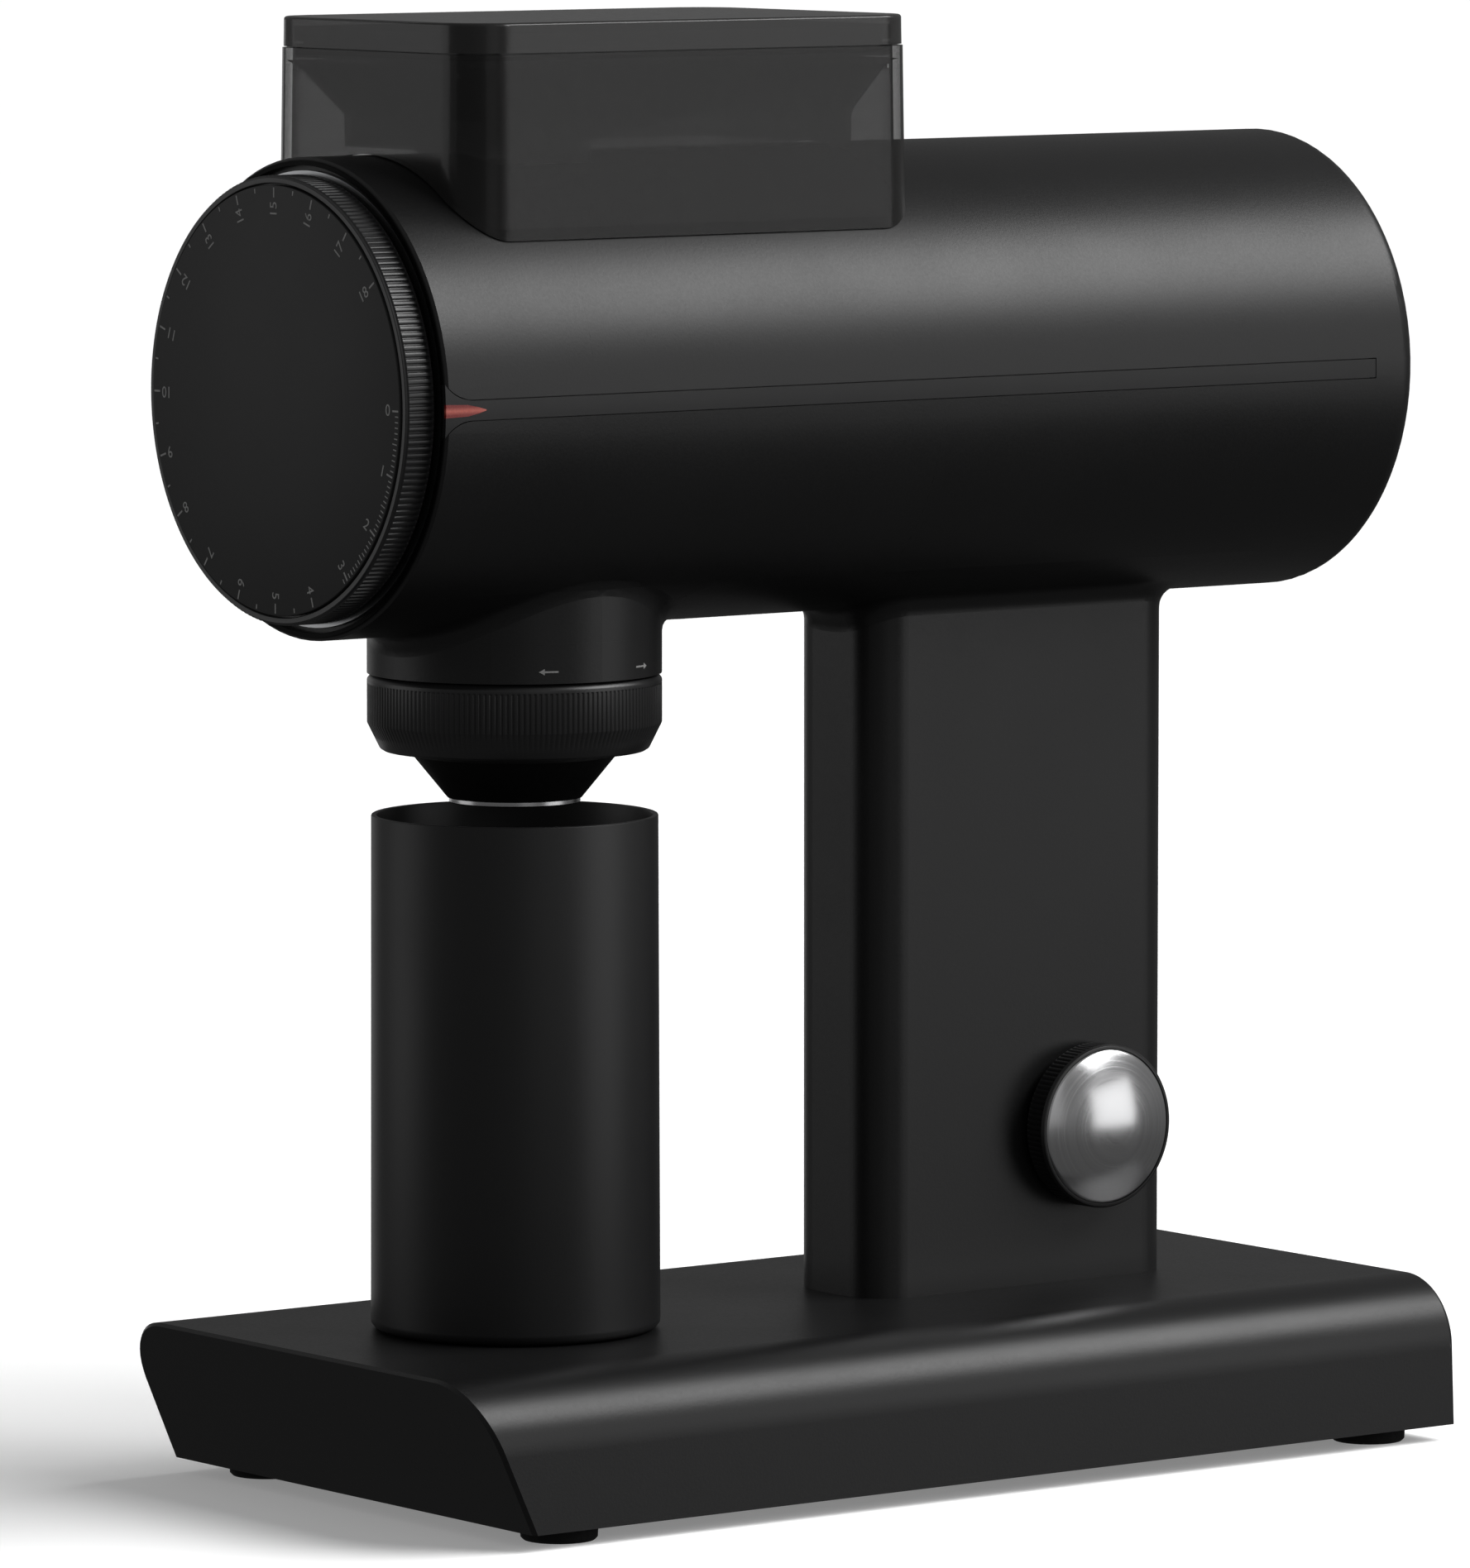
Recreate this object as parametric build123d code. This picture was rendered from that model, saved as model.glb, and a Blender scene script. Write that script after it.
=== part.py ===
from build123d import *
import os
from math import cos, sin, asin, radians, sqrt, pi

os.makedirs("parts", exist_ok=True)

# ---------------------------------------------------------------------------
# Electric single-dose flat-burr coffee grinder. Millimetres, +Z up.
# +X is the side with the pointer and the speed knob, -Y is the dial end.
# Origin: on the floor, under the centre of the overall box.
# A station s is a distance behind the dial's front face, so Y = s + DIAL_Y.
# ---------------------------------------------------------------------------
OVERALL_LENGTH = 293.6
DIAL_Y = -OVERALL_LENGTH / 2
AXIS_Z = 256.7                     # height of the motor and burr axis

# main housing: horizontal drum, neck and column in one casting
DRUM_R = 55.0
DRUM_FRONT, DRUM_REAR = 8.4, 293.6
DRUM_BORE_R = 52.0
DRUM_REAR_FILLET = 4.6
FRONT_CHAMFER_S, FRONT_CHAMFER_R = 1.0, 0.8
NECK_S, NECK_R, NECK_BORE_R = 67.07, 34.07, 29.5
NECK_BOTTOM_Z = AXIS_Z - 65.1
NECK_FILLET = 5.0
COL_HALF, COL_S0, COL_S1, COL_R = 17.0, 159.2, 250.4, 10.0
COL_WALL, COL_FOOT = 3.5, 11.0
COL_FILLET = 5.5

# base
BASE_TOP_Z = AXIS_Z - 217.76
BASE_BOT_Z = AXIS_Z - 252.75
BASE_TOP_HALF, BASE_BOT_HALF, BASE_SHOULDER_R = 55.11, 71.86, 16.25
BASE_FRONT_TOP, BASE_FRONT_BOT = 4.29, 20.05
BASE_REAR_TOP, BASE_REAR_BOT = 292.35, 292.89
FOOT_X, FOOT_S0, FOOT_S1, FOOT_R = 58.0, 37.0, 277.0, 9.0

# dial and burr set
DIAL_R, DIAL_FACE_R = 51.09, 48.9
DIAL_KNURL_END = 8.3
DIAL_SKIRT_R, THREAD_R = 44.0, 39.95
SLEEVE_R, SLEEVE_S0, SLEEVE_S1 = 51.95, 9.4, 77.0
CARRIER_R, CARRIER_S1 = 45.95, 76.0
BURR_OR, BURR_IR, BURR_T = 39.0, 19.0, 9.0
BURR_GAP = 0.35
BURR_SCREW_PCR = 24.3
SHAFT_R = 5.0
BEAN_SLOT_X, BEAN_S0, BEAN_S1 = 14.0, 52.0, 76.0

# outlet and cup
COLLAR_R = 34.07
CUP_R_TOP, CUP_R_BOT = 33.2, 33.6
CUP_TOP_Z, CUP_BOT_Z = AXIS_Z - 98.0, AXIS_Z - 216.3
CUP_WALL = 1.3

# hopper
HOP_HALF, HOP_S0, HOP_S1, HOP_R = 41.4, 25.0, 154.9, 11.6
HOP_TAPER = 0.9
HOP_TOP_Z = AXIS_Z + 85.8
LID_H = 7.0
HOP_WALL = 2.4

# speed knob on the column's side
KNOB_S, KNOB_Z, KNOB_R = 223.0, AXIS_Z - 180.3, 19.6


def Y(s):
    return s + DIAL_Y


def rev_y(pts, arc=360):
    """Solid of revolution about the burr axis; pts are (station, radius)."""
    w = Polyline(*[(0, Y(s), AXIS_Z + r) for s, r in pts], close=True)
    return revolve(make_face(w), axis=Axis((0, 0, AXIS_Z), (0, 1, 0)), revolution_arc=arc)


def ring_y(s0, s1, r0, r1):
    return rev_y([(s0, r0), (s1, r0), (s1, r1), (s0, r1)])


def rev_z(pts, s0, x0=0.0):
    """Solid of revolution about a vertical axis; pts are (radius, height)."""
    w = Polyline(*[(x0 + r, Y(s0), z) for r, z in pts], close=True)
    return revolve(make_face(w), axis=Axis((x0, Y(s0), 0), (0, 0, 1)), revolution_arc=360)


def rev_x(pts, s0, z0):
    """Solid of revolution about an axis along X; pts are (x, radius)."""
    w = Polyline(*[(x, Y(s0), z0 + r) for x, r in pts], close=True)
    return revolve(make_face(w), axis=Axis((0, Y(s0), z0), (1, 0, 0)), revolution_arc=360)


def box(x0, x1, s0, s1, z0, z1):
    return Pos((x0 + x1) / 2, Y((s0 + s1) / 2), (z0 + z1) / 2) * Box(x1 - x0, s1 - s0, z1 - z0)


def cyl_z(x, s, r, z0, z1):
    return Pos(x, Y(s), (z0 + z1) / 2) * Cylinder(r, z1 - z0)


def cyl_y(x, z, r, s0, s1):
    return Pos(x, Y((s0 + s1) / 2), z) * Rot(90, 0, 0) * Cylinder(r, s1 - s0)


def cyl_x(s, z, r, x0, x1):
    return Pos((x0 + x1) / 2, Y(s), z) * Rot(0, 90, 0) * Cylinder(r, x1 - x0)


def rrect(half, s0, s1, r, z0, z1, taper=0.0):
    """Rounded rectangular prism, standing on z0."""
    f = Plane((0, Y((s0 + s1) / 2), z0)) * RectangleRounded(2 * half, s1 - s0, r)
    return extrude(f, z1 - z0, taper=taper) if taper else extrude(f, z1 - z0)


def polar(r, deg):
    return r * cos(radians(deg)), AXIS_Z + r * sin(radians(deg))


def group(items):
    solids = []
    for i in items:
        solids += list(i.solids())
    return Compound(children=[Solid(s.wrapped) for s in solids]) if len(solids) > 1 else solids[0]


def save(name, shape):
    export_step(shape, "parts/" + name + ".step")


# ---------------------------------------------------------------------------
# MAIN HOUSING
# ---------------------------------------------------------------------------
drum = rev_y([(DRUM_FRONT, 0), (DRUM_FRONT, DRUM_R - FRONT_CHAMFER_R),
              (DRUM_FRONT + FRONT_CHAMFER_S, DRUM_R), (DRUM_REAR, DRUM_R), (DRUM_REAR, 0)])
rear_edge = [e for e in drum.edges() if e.geom_type == GeomType.CIRCLE
             and abs(e.center().Y - Y(DRUM_REAR)) < 0.01]
drum = fillet(rear_edge, DRUM_REAR_FILLET)
neck = cyl_z(0, NECK_S, NECK_R, NECK_BOTTOM_Z, AXIS_Z - 20)
column = rrect(COL_HALF, COL_S0, COL_S1, COL_R, BASE_TOP_Z, AXIS_Z - 20)
outer = drum + neck + column
edges_new = new_edges(drum, neck, column, combined=outer)
neck_edges = [e for e in edges_new if e.center().Y < Y(120)]
col_edges = [e for e in edges_new if e.center().Y > Y(120)]
outer = fillet(neck_edges, NECK_FILLET)
box_mid = Y(120)
edges_now = [e for e in outer.edges() if e.center().Y > box_mid
             and any((e.center() - c.center()).length < 0.2 for c in col_edges)]
outer = fillet(edges_now, COL_FILLET)

housing = outer
housing -= ring_y(DRUM_FRONT - 1, 286.0, 0, DRUM_BORE_R)
housing -= ring_y(DRUM_FRONT - 1, DRUM_FRONT + 2.2, 0, 53.2)
housing -= ring_y(285.5, 290.4, 0, 43.0)
housing -= ring_y(290.4, DRUM_REAR + 1, 0, 48.0)
housing -= cyl_z(0, NECK_S, NECK_BORE_R, NECK_BOTTOM_Z - 1, AXIS_Z - 30)
housing -= rrect(COL_HALF - COL_WALL, COL_S0 + COL_WALL, COL_S1 - COL_WALL, COL_R - COL_WALL,
                 BASE_TOP_Z + COL_FOOT, AXIS_Z - 30)
housing -= box(-16, 16, 50, 78, AXIS_Z + 20, AXIS_Z + 60)
COL_BOLTS = [(x, s) for x in (-8.0, 8.0) for s in (174.0, 222.0)]
for x, s in COL_BOLTS:
    housing -= cyl_z(x, s, 3.0, BASE_TOP_Z - 1, BASE_TOP_Z + 9.0)
LOOM_S = 238.4
housing -= cyl_z(0, LOOM_S, 5.0, BASE_TOP_Z - 1, BASE_TOP_Z + COL_FOOT + 1)
housing -= cyl_x(KNOB_S, KNOB_Z, 6.05, 0, COL_HALF + 2)
REAR_SCREWS = [polar(45.4, a) for a in (90, 210, 330)]
for x, z in REAR_SCREWS:
    housing -= cyl_y(x, z, 1.2, 283.0, 291.0)

# the strip inlaid along the +X side, with its flared tongue at the front
STRIP_HALF, TONGUE_HALF, TONGUE_LEN, STRIP_S1 = 2.2, 6.0, 7.6, 280.2
STRIP_DEPTH = 1.2


def strip_prism(grow, x0, x1):
    """Flared strip outline in the side view, grown by a clearance, extruded in X."""
    h, t = STRIP_HALF + grow, TONGUE_HALF + grow
    s0, s1, s2 = DRUM_FRONT - (2.0 if grow else 0.0), DRUM_FRONT + TONGUE_LEN, STRIP_S1 + grow
    R = ((TONGUE_LEN) ** 2 + (t - h) ** 2) / (2 * (t - h))
    def arc(sgn):
        # the circle's centre is above (below) the strip's edge at s1, so it is tangent there
        zc = AXIS_Z + sgn * (h + R)
        a = 0.5 * asin(TONGUE_LEN / R)
        ms, mz = s1 - R * sin(a), zc - sgn * R * cos(a)
        return ThreePointArc((x0, Y(s1), AXIS_Z + sgn * h), (x0, Y(ms), mz),
                             (x0, Y(s1 - TONGUE_LEN), AXIS_Z + sgn * t))
    segs = [arc(1)]
    if grow:
        segs += [Line((x0, Y(DRUM_FRONT), AXIS_Z + t), (x0, Y(s0), AXIS_Z + t))]
    segs += [Line((x0, Y(s0), AXIS_Z + t), (x0, Y(s0), AXIS_Z - t))]
    if grow:
        segs += [Line((x0, Y(s0), AXIS_Z - t), (x0, Y(DRUM_FRONT), AXIS_Z - t))]
    segs += [arc(-1),
             Line((x0, Y(s1), AXIS_Z - h), (x0, Y(s2), AXIS_Z - h)),
             Line((x0, Y(s2), AXIS_Z - h), (x0, Y(s2), AXIS_Z + h)),
             Line((x0, Y(s2), AXIS_Z + h), (x0, Y(s1), AXIS_Z + h))]
    f = make_face(Wire(segs))
    return extrude(f, amount=x1 - x0, dir=(1, 0, 0))


groove = strip_prism(0.25, 40, 60) & ring_y(0, 285, DRUM_R - STRIP_DEPTH, 60)
housing -= groove
# the casting is kept as solids that all but touch: neck, column and four lengths of the drum
CUT = 0.006
neck_box = box(-70, 70, 25, 109, AXIS_Z - 80, AXIS_Z - 44)
col_box = box(-70, 70, 150, 262, BASE_TOP_Z - 5, AXIS_Z - 44)
drum_only = (housing - box(-70, 70, 25 - CUT, 109 + CUT, AXIS_Z - 80, AXIS_Z - 44 + CUT)
             - box(-70, 70, 150 - CUT, 262 + CUT, BASE_TOP_Z - 5, AXIS_Z - 44 + CUT))
CUTS = [0, 50, 78, 150, 300]
lengths = [drum_only & box(-70, 70, a, b - CUT, AXIS_Z - 70, AXIS_Z + 70) for a, b in zip(CUTS, CUTS[1:])]
neck_whole = housing & neck_box
neck_parts = []
for z0, z1 in ((AXIS_Z - 80, AXIS_Z - 56 - CUT), (AXIS_Z - 56, AXIS_Z - 44)):
    for i in range(8):
        a0, a1 = radians(45 * i + 0.012), radians(45 * (i + 1))
        sector = make_face(Polyline((0, Y(NECK_S), z0), (120 * cos(a0), Y(NECK_S) + 120 * sin(a0), z0),
                                    (120 * cos(a1), Y(NECK_S) + 120 * sin(a1), z0), close=True))
        neck_parts.append(neck_whole & extrude(sector, amount=z1 - z0, dir=(0, 0, 1)))
save("main_housing", group([*neck_parts, housing & col_box, *lengths]))

strip = strip_prism(0.0, 40, 60) & ring_y(0, 285, DRUM_R - STRIP_DEPTH, DRUM_R)
# red wedge, set 0.5 mm into the tongue and standing a hair proud
WEDGE = [(0.0, 1.5), (6.0, 1.3), (9.0, 0.7), (11.1, 0.12)]
wedge_face = make_face(Polyline(*[(40, Y(DRUM_FRONT + d), AXIS_Z + w) for d, w in WEDGE],
                                *[(40, Y(DRUM_FRONT + d), AXIS_Z - w) for d, w in reversed(WEDGE)], close=True))
wedge = extrude(wedge_face, amount=20, dir=(1, 0, 0))
strip -= wedge & ring_y(0, 285, DRUM_R - 0.6, 60)
save("side_strip", strip)
save("pointer_insert", wedge & ring_y(0, 285, DRUM_R - 0.6, DRUM_R + 0.1))

# ---------------------------------------------------------------------------
# DIAL
# ---------------------------------------------------------------------------
dial = rev_y([(1.9, 0), (1.9, 49.2), (0.5, 49.2), (0.5, 50.6), (1.0, DIAL_R), (DIAL_KNURL_END - 0.3, DIAL_R),
              (DIAL_KNURL_END, 50.8), (DIAL_KNURL_END, DIAL_SKIRT_R),
              (14.0, DIAL_SKIRT_R), (14.0, 42.1), (16.2, 42.1), (16.2, DIAL_SKIRT_R),
              (24.8, DIAL_SKIRT_R), (24.8, 42.8), (26.3, 42.8), (26.3, DIAL_SKIRT_R),
              (27.2, DIAL_SKIRT_R), (27.2, THREAD_R + 0.06), (6.0, THREAD_R + 0.06), (6.0, 0)])
save("dial", dial)
face = rev_y([(0.0, 0), (0.0, DIAL_FACE_R - 0.3), (0.3, DIAL_FACE_R), (1.9, DIAL_FACE_R), (1.9, 0)])
save("dial_face", face)
oring = revolve(Plane((0, Y(15.1), AXIS_Z + 43.05), x_dir=(0, 1, 0), z_dir=(1, 0, 0)) * Circle(0.93),
                axis=Axis((0, 0, AXIS_Z), (0, 1, 0)), revolution_arc=360)
save("dial_o_ring", oring)
snap = ring_y(24.95, 26.15, 42.85, 45.3) - box(-3, 3, 20, 30, AXIS_Z - 50, AXIS_Z - 30)
save("dial_snap_ring", snap)

# ---------------------------------------------------------------------------
# FRONT CARTRIDGE: sleeve that slides out of the drum with the burr carriage
# ---------------------------------------------------------------------------
KEY_ANGLES = (30, 150, 270)


def key(deg, half, r0, r1, s0, s1):
    b = box(r0, r1, s0, s1, -half, half)
    return Pos(0, 0, AXIS_Z) * Rot(0, -deg, 0) * b


sleeve = rev_y([(SLEEVE_S0, 44.06), (24.5, 44.06), (24.5, CARRIER_R + 0.05), (SLEEVE_S1, CARRIER_R + 0.05),
                (SLEEVE_S1, SLEEVE_R), (SLEEVE_S0, SLEEVE_R)])
sleeve -= box(-BEAN_SLOT_X, BEAN_SLOT_X, 53, 75, AXIS_Z + 20, AXIS_Z + 60)
for a in KEY_ANGLES:
    sleeve -= key(a, 3.03, 40, 48.03, 29.97, 70.03)
save("cartridge_sleeve", sleeve)
save("guide_keys", group([key(a, 3.0, 43.5, 48.0, 30, 70) for a in KEY_ANGLES]))

# ---------------------------------------------------------------------------
# BURR CARRIAGE: carrier threaded in the dial, kept from turning by the keys
# ---------------------------------------------------------------------------
RING_S0 = 50.0
carrier = rev_y([(8.6, 34.0), (8.6, THREAD_R - 0.6), (9.2, THREAD_R), (28.6, THREAD_R), (28.6, CARRIER_R),
                 (RING_S0, CARRIER_R), (RING_S0, 0), (44, 0), (44, 34.0)])
# feed ring: carries the stationary burr, with the bean slot through its top
feed_ring = ring_y(RING_S0 + 0.02, CARRIER_S1, BURR_IR, CARRIER_R)
feed_ring -= box(-13, 13, 53.9, 74.1, AXIS_Z + 10, AXIS_Z + 60)
for a in KEY_ANGLES:
    carrier -= key(a, 3.1, 43.3, 60, 26, 72)
    feed_ring -= key(a, 3.1, 43.3, 60, 26, 72)
SCREW_A = (0, 180)
for a in SCREW_A:
    x, z = polar(BURR_SCREW_PCR, a)
    feed_ring -= cyl_y(x, z, 2.0, 64, CARRIER_S1 + 1)
RING_SCREWS = [polar(30.5, a) for a in (60, 180, 300)]
for x, z in RING_SCREWS:
    carrier -= cyl_y(x, z, 1.7, 43, RING_S0 + 1) + cyl_y(x, z, 3.1, 43, 46.6)
    feed_ring -= cyl_y(x, z, 1.4, RING_S0 - 1, 59)
save("burr_carrier", carrier)
save("feed_ring", feed_ring)
save("feed_ring_screws", group([cyl_y(x, z, 1.35, 46.6, 58) + cyl_y(x, z, 2.9, 44.1, 46.6)
                                - Pos(x, Y(44.6), z) * Rot(90, 0, 0) * extrude(RegularPolygon(1.2, 6), 0.9, both=True)
                                for x, z in RING_SCREWS]))


def burr(s_back, sgn):
    """Flat burr: back face at s_back, grinding face towards sgn."""
    p = [(0, BURR_IR), (0, BURR_OR), (7.6, BURR_OR), (9.0, 38.0), (9.0, 30.5), (5.2, BURR_IR)]
    b = rev_y([(s_back + sgn * d, r) for d, r in p])
    for a in SCREW_A:
        x, z = polar(BURR_SCREW_PCR, a)
        lo, hi = sorted((s_back - sgn * 1, s_back + sgn * 10))
        b -= cyl_y(x, z, 2.25, lo, hi)
        lo, hi = sorted((s_back + sgn * 3.4, s_back + sgn * 10))
        b -= cyl_y(x, z, 4.4, lo, hi)
    return b


def burr_screws(s_back, sgn):
    out = []
    for a in SCREW_A:
        x, z = polar(BURR_SCREW_PCR, a)
        lo, hi = sorted((s_back - sgn * 3.2, s_back + sgn * 3.4))
        sh = cyl_y(x, z, 1.95, lo, hi)
        lo, hi = sorted((s_back + sgn * 3.4, s_back + sgn * 5.6))
        head = cyl_y(x, z, 3.8, lo, hi)
        lo, hi = sorted((s_back + sgn * 4.4, s_back + sgn * 6.0))
        hexs = Pos(x, Y((lo + hi) / 2), z) * Rot(90, 0, 0) * extrude(RegularPolygon(1.45, 6), (hi - lo) / 2, both=True)
        out.append(sh + head - hexs)
    return group(out)


save("stationary_burr", burr(CARRIER_S1, 1))
save("stationary_burr_screws", burr_screws(CARRIER_S1, 1))

# ---------------------------------------------------------------------------
# ROTOR: shaft, motor rotor, rotating carrier, burr and auger
# ---------------------------------------------------------------------------
ROT_FACE = CARRIER_S1 + BURR_T + BURR_GAP
ROT_BACK = ROT_FACE + BURR_T
rot_carrier = rev_y([(ROT_BACK, SHAFT_R + 0.02), (ROT_BACK, 38.8), (99.2, 38.8), (99.2, SHAFT_R + 0.02)])
for i in range(3):
    a = 30 + 120 * i
    rot_carrier += Pos(0, 0, AXIS_Z) * Rot(0, -a, 0) * box(36, 45.3, 89.5, 99.2, -2.0, 2.0) \
        - ring_y(80, ROT_BACK, 0, 40.2)
for a in SCREW_A:
    x, z = polar(BURR_SCREW_PCR, a)
    rot_carrier -= cyl_y(x, z, 2.0, ROT_BACK - 1, ROT_BACK + 4.0)
save("rotating_carrier", rot_carrier)
save("rotating_burr", burr(ROT_BACK, -1))
save("rotating_burr_screws", burr_screws(ROT_BACK, -1))

auger = ring_y(56.2, ROT_BACK - 0.02, SHAFT_R + 0.02, 8.6)
for i in range(6):
    a = 60 * i
    st = 60.5 + 4.1 * i
    blade = Pos(0, 0, AXIS_Z) * Rot(0, -a, 0) * Pos(12.4, Y(st), 0) * Rot(28, 0, 0) * Box(9.4, 2.6, 14.0)
    auger += blade & ring_y(50, 90, 6.5, 17.2)
save("auger", auger)
save("auger_nut", cyl_y(0, AXIS_Z, 7.6, 52.2, 56.2) - cyl_y(0, AXIS_Z, SHAFT_R + 0.02, 53.4, 57))
save("drive_shaft", cyl_y(0, AXIS_Z, SHAFT_R, 53.5, 236.0))
save("motor_rotor", ring_y(124, 204, SHAFT_R + 0.02, 27.6))
fan = ring_y(226, 233, SHAFT_R + 0.02, 11)
for i in range(7):
    a = 360 / 7 * i
    fan += Pos(0, 0, AXIS_Z) * Rot(0, -a, 0) * Pos(23.0, Y(229.5), 0) * Rot(35, 0, 0) * Box(28, 1.4, 8.0)
fan = fan & ring_y(225.6, 233.4, SHAFT_R + 0.02, 36.5)
save("cooling_fan", fan)

# ---------------------------------------------------------------------------
# FIXED INTERNALS
# ---------------------------------------------------------------------------
chamber = rev_y([(77.6, 46.2), (77.6, 51.95), (104.0, 51.95), (104.0, 8.05), (100.2, 8.05), (100.2, 46.2)])
chamber -= box(-20, 20, 80, 96, AXIS_Z - 60, AXIS_Z - 30)
save("grind_chamber", chamber)
save("shaft_seal", ring_y(100.3, 103.9, SHAFT_R + 0.08, 8.0))
mount = ring_y(104.2, 112.2, 13.05, 51.95)
MOTOR_SCREWS = [polar(41.0 - 8.5, a) for a in (45, 135, 225, 315)]
for x, z in MOTOR_SCREWS:
    mount -= cyl_y(x, z, 2.1, 104, 113)
    mount -= cyl_y(x, z, 4.1, 104, 108.2)
mount -= ring_y(104, 113, 43.5, 47.5) & box(-60, 60, 100, 120, AXIS_Z - 60, AXIS_Z + 60) & (
    box(-60, -20, 100, 120, AXIS_Z - 30, AXIS_Z + 30) + box(20, 60, 100, 120, AXIS_Z - 30, AXIS_Z + 30))
save("motor_mount", mount)
save("front_bearing", ring_y(104.8, 111.8, SHAFT_R + 0.05, 13.0))
can = rev_y([(112.3, 30.0), (112.3, 42.0), (225.0, 42.0), (225.0, 11.05), (218.0, 11.05), (218.0, 40.0),
             (118.5, 40.0), (118.5, 30.0)])
for x, z in MOTOR_SCREWS:
    can -= cyl_y(x, z, 1.9, 112, 120)
save("motor_can", can)
screws = []
for x, z in MOTOR_SCREWS:
    screws.append(cyl_y(x, z, 1.85, 108.2, 118.2) + cyl_y(x, z, 3.8, 104.6, 108.2)
                  - Pos(x, Y(105.4), z) * Rot(90, 0, 0) * extrude(RegularPolygon(1.6, 6), 1.0, both=True))
save("motor_screws", group(screws))
save("motor_stator", ring_y(120, 208, 28.4, 39.9))
save("rear_bearing", ring_y(218.2, 224.8, SHAFT_R + 0.05, 11.0))

board = ring_y(241, 242.6, 10, 44)
board += box(-5, 5, 233.6, 241, AXIS_Z - 42, AXIS_Z - 37.5)
for a in (20, 75, 150, 200, 320):
    x, z = polar(28, a)
    board += cyl_y(x, z, 6.2, 242.6, 256)
board += box(-14, 14, 242.6, 247, AXIS_Z - 40, AXIS_Z - 30)
save("motor_driver_board", board)

cover = rev_y([(290.5, 0), (290.5, 47.85), (292.6, 47.85), (293.0, 47.45), (293.0, 0)])
for row in range(-4, 5):
    z = AXIS_Z + row * 7.0
    half = min(30.0, sqrt(max(0, 37.0 ** 2 - (row * 7.0) ** 2)))
    slot = Pos(0, Y(292), z) * Rot(90, 0, 0) * extrude(SlotOverall(2 * half, 2.6), 4, both=True)
    cover -= slot
for x, z in REAR_SCREWS:
    cover -= cyl_y(x, z, 1.5, 290, 294)
    cover -= cyl_y(x, z, 2.1, 291.5, 294)
save("rear_cover", cover)

save("rear_cover_screws", group([cyl_y(x, z, 1.15, 283.5, 291.5) + cyl_y(x, z, 2.0, 291.5, 292.8)
                                 - Pos(x, Y(292.6), z) * Rot(90, 0, 0)
                                 * extrude(RegularPolygon(0.9, 6), 0.8, both=True) for x, z in REAR_SCREWS]))

# ---------------------------------------------------------------------------
# SPEED KNOB: turns to set the speed, and is pushed to start and stop
# ---------------------------------------------------------------------------
bush = cyl_x(KNOB_S, KNOB_Z, 6.0, 10.5, 17.0) + cyl_x(KNOB_S, KNOB_Z, 8.0, 10.5, 13.4)
bush -= cyl_x(KNOB_S, KNOB_Z, 4.05, 5, 20)
save("knob_bushing", bush)
encoder = box(-4.0, 9.0, KNOB_S - 6.5, KNOB_S + 6.5, KNOB_Z - 6.5, KNOB_Z + 6.5)
encoder += box(-6.0, -4.0, KNOB_S - 11, KNOB_S + 11, KNOB_Z - 16, KNOB_Z + 16)
save("knob_encoder", encoder)
save("knob_slider", cyl_x(KNOB_S, KNOB_Z, 4.0, 10.6, 18.1) - cyl_x(KNOB_S, KNOB_Z, 3.05, 5, 20))
save("knob_shaft", cyl_x(KNOB_S, KNOB_Z, 3.0, 10.6, 24.0))
skirt = rev_x([(18.6, 3.02), (18.6, KNOB_R - 1.0), (19.2, KNOB_R), (24.6, KNOB_R), (25.2, KNOB_R - 0.5),
               (25.2, KNOB_R - 1.1), (24.0, KNOB_R - 1.1), (24.0, 3.02)], KNOB_S, KNOB_Z)
save("knob_skirt", skirt)
# domed metal cap let into the skirt
cap_r, cap_h = KNOB_R - 1.2, 4.4
DOME_R = (cap_r ** 2 + cap_h ** 2) / (2 * cap_h)
cap_face = make_face(Wire([
    Line((24.0, Y(KNOB_S), KNOB_Z), (24.0, Y(KNOB_S), KNOB_Z + cap_r)),
    Line((24.0, Y(KNOB_S), KNOB_Z + cap_r), (25.2, Y(KNOB_S), KNOB_Z + cap_r)),
    ThreePointArc((25.2, Y(KNOB_S), KNOB_Z + cap_r),
                  (25.2 + cap_h - DOME_R + DOME_R * cos(asin(cap_r / DOME_R) / 2), Y(KNOB_S),
                   KNOB_Z + DOME_R * sin(asin(cap_r / DOME_R) / 2)),
                  (25.2 + cap_h, Y(KNOB_S), KNOB_Z)),
    Line((25.2 + cap_h, Y(KNOB_S), KNOB_Z), (24.0, Y(KNOB_S), KNOB_Z))]))
save("knob_cap", revolve(cap_face, axis=Axis((0, Y(KNOB_S), KNOB_Z), (1, 0, 0)), revolution_arc=360))

# ---------------------------------------------------------------------------
# HOPPER AND LID
# ---------------------------------------------------------------------------
hz0 = AXIS_Z + 36.0
hm = (HOP_S0 + HOP_S1) / 2


def hop_block(inset, z0, z1):
    """Tapered rounded block following the hopper's outside, inset all round."""
    d = inset + sin(radians(HOP_TAPER)) * (z0 - hz0)
    return rrect(HOP_HALF - d, HOP_S0 + d, HOP_S1 - d, max(HOP_R - inset, 1.0), z0, z1, taper=HOP_TAPER)


LID_Z = HOP_TOP_Z - LID_H
drum_clear = ring_y(0, 300, 0, DRUM_R + 0.3)
shell = hop_block(0, hz0, LID_Z - 0.15) - hop_block(HOP_WALL, hz0 - 1, LID_Z + 5) - drum_clear
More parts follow.
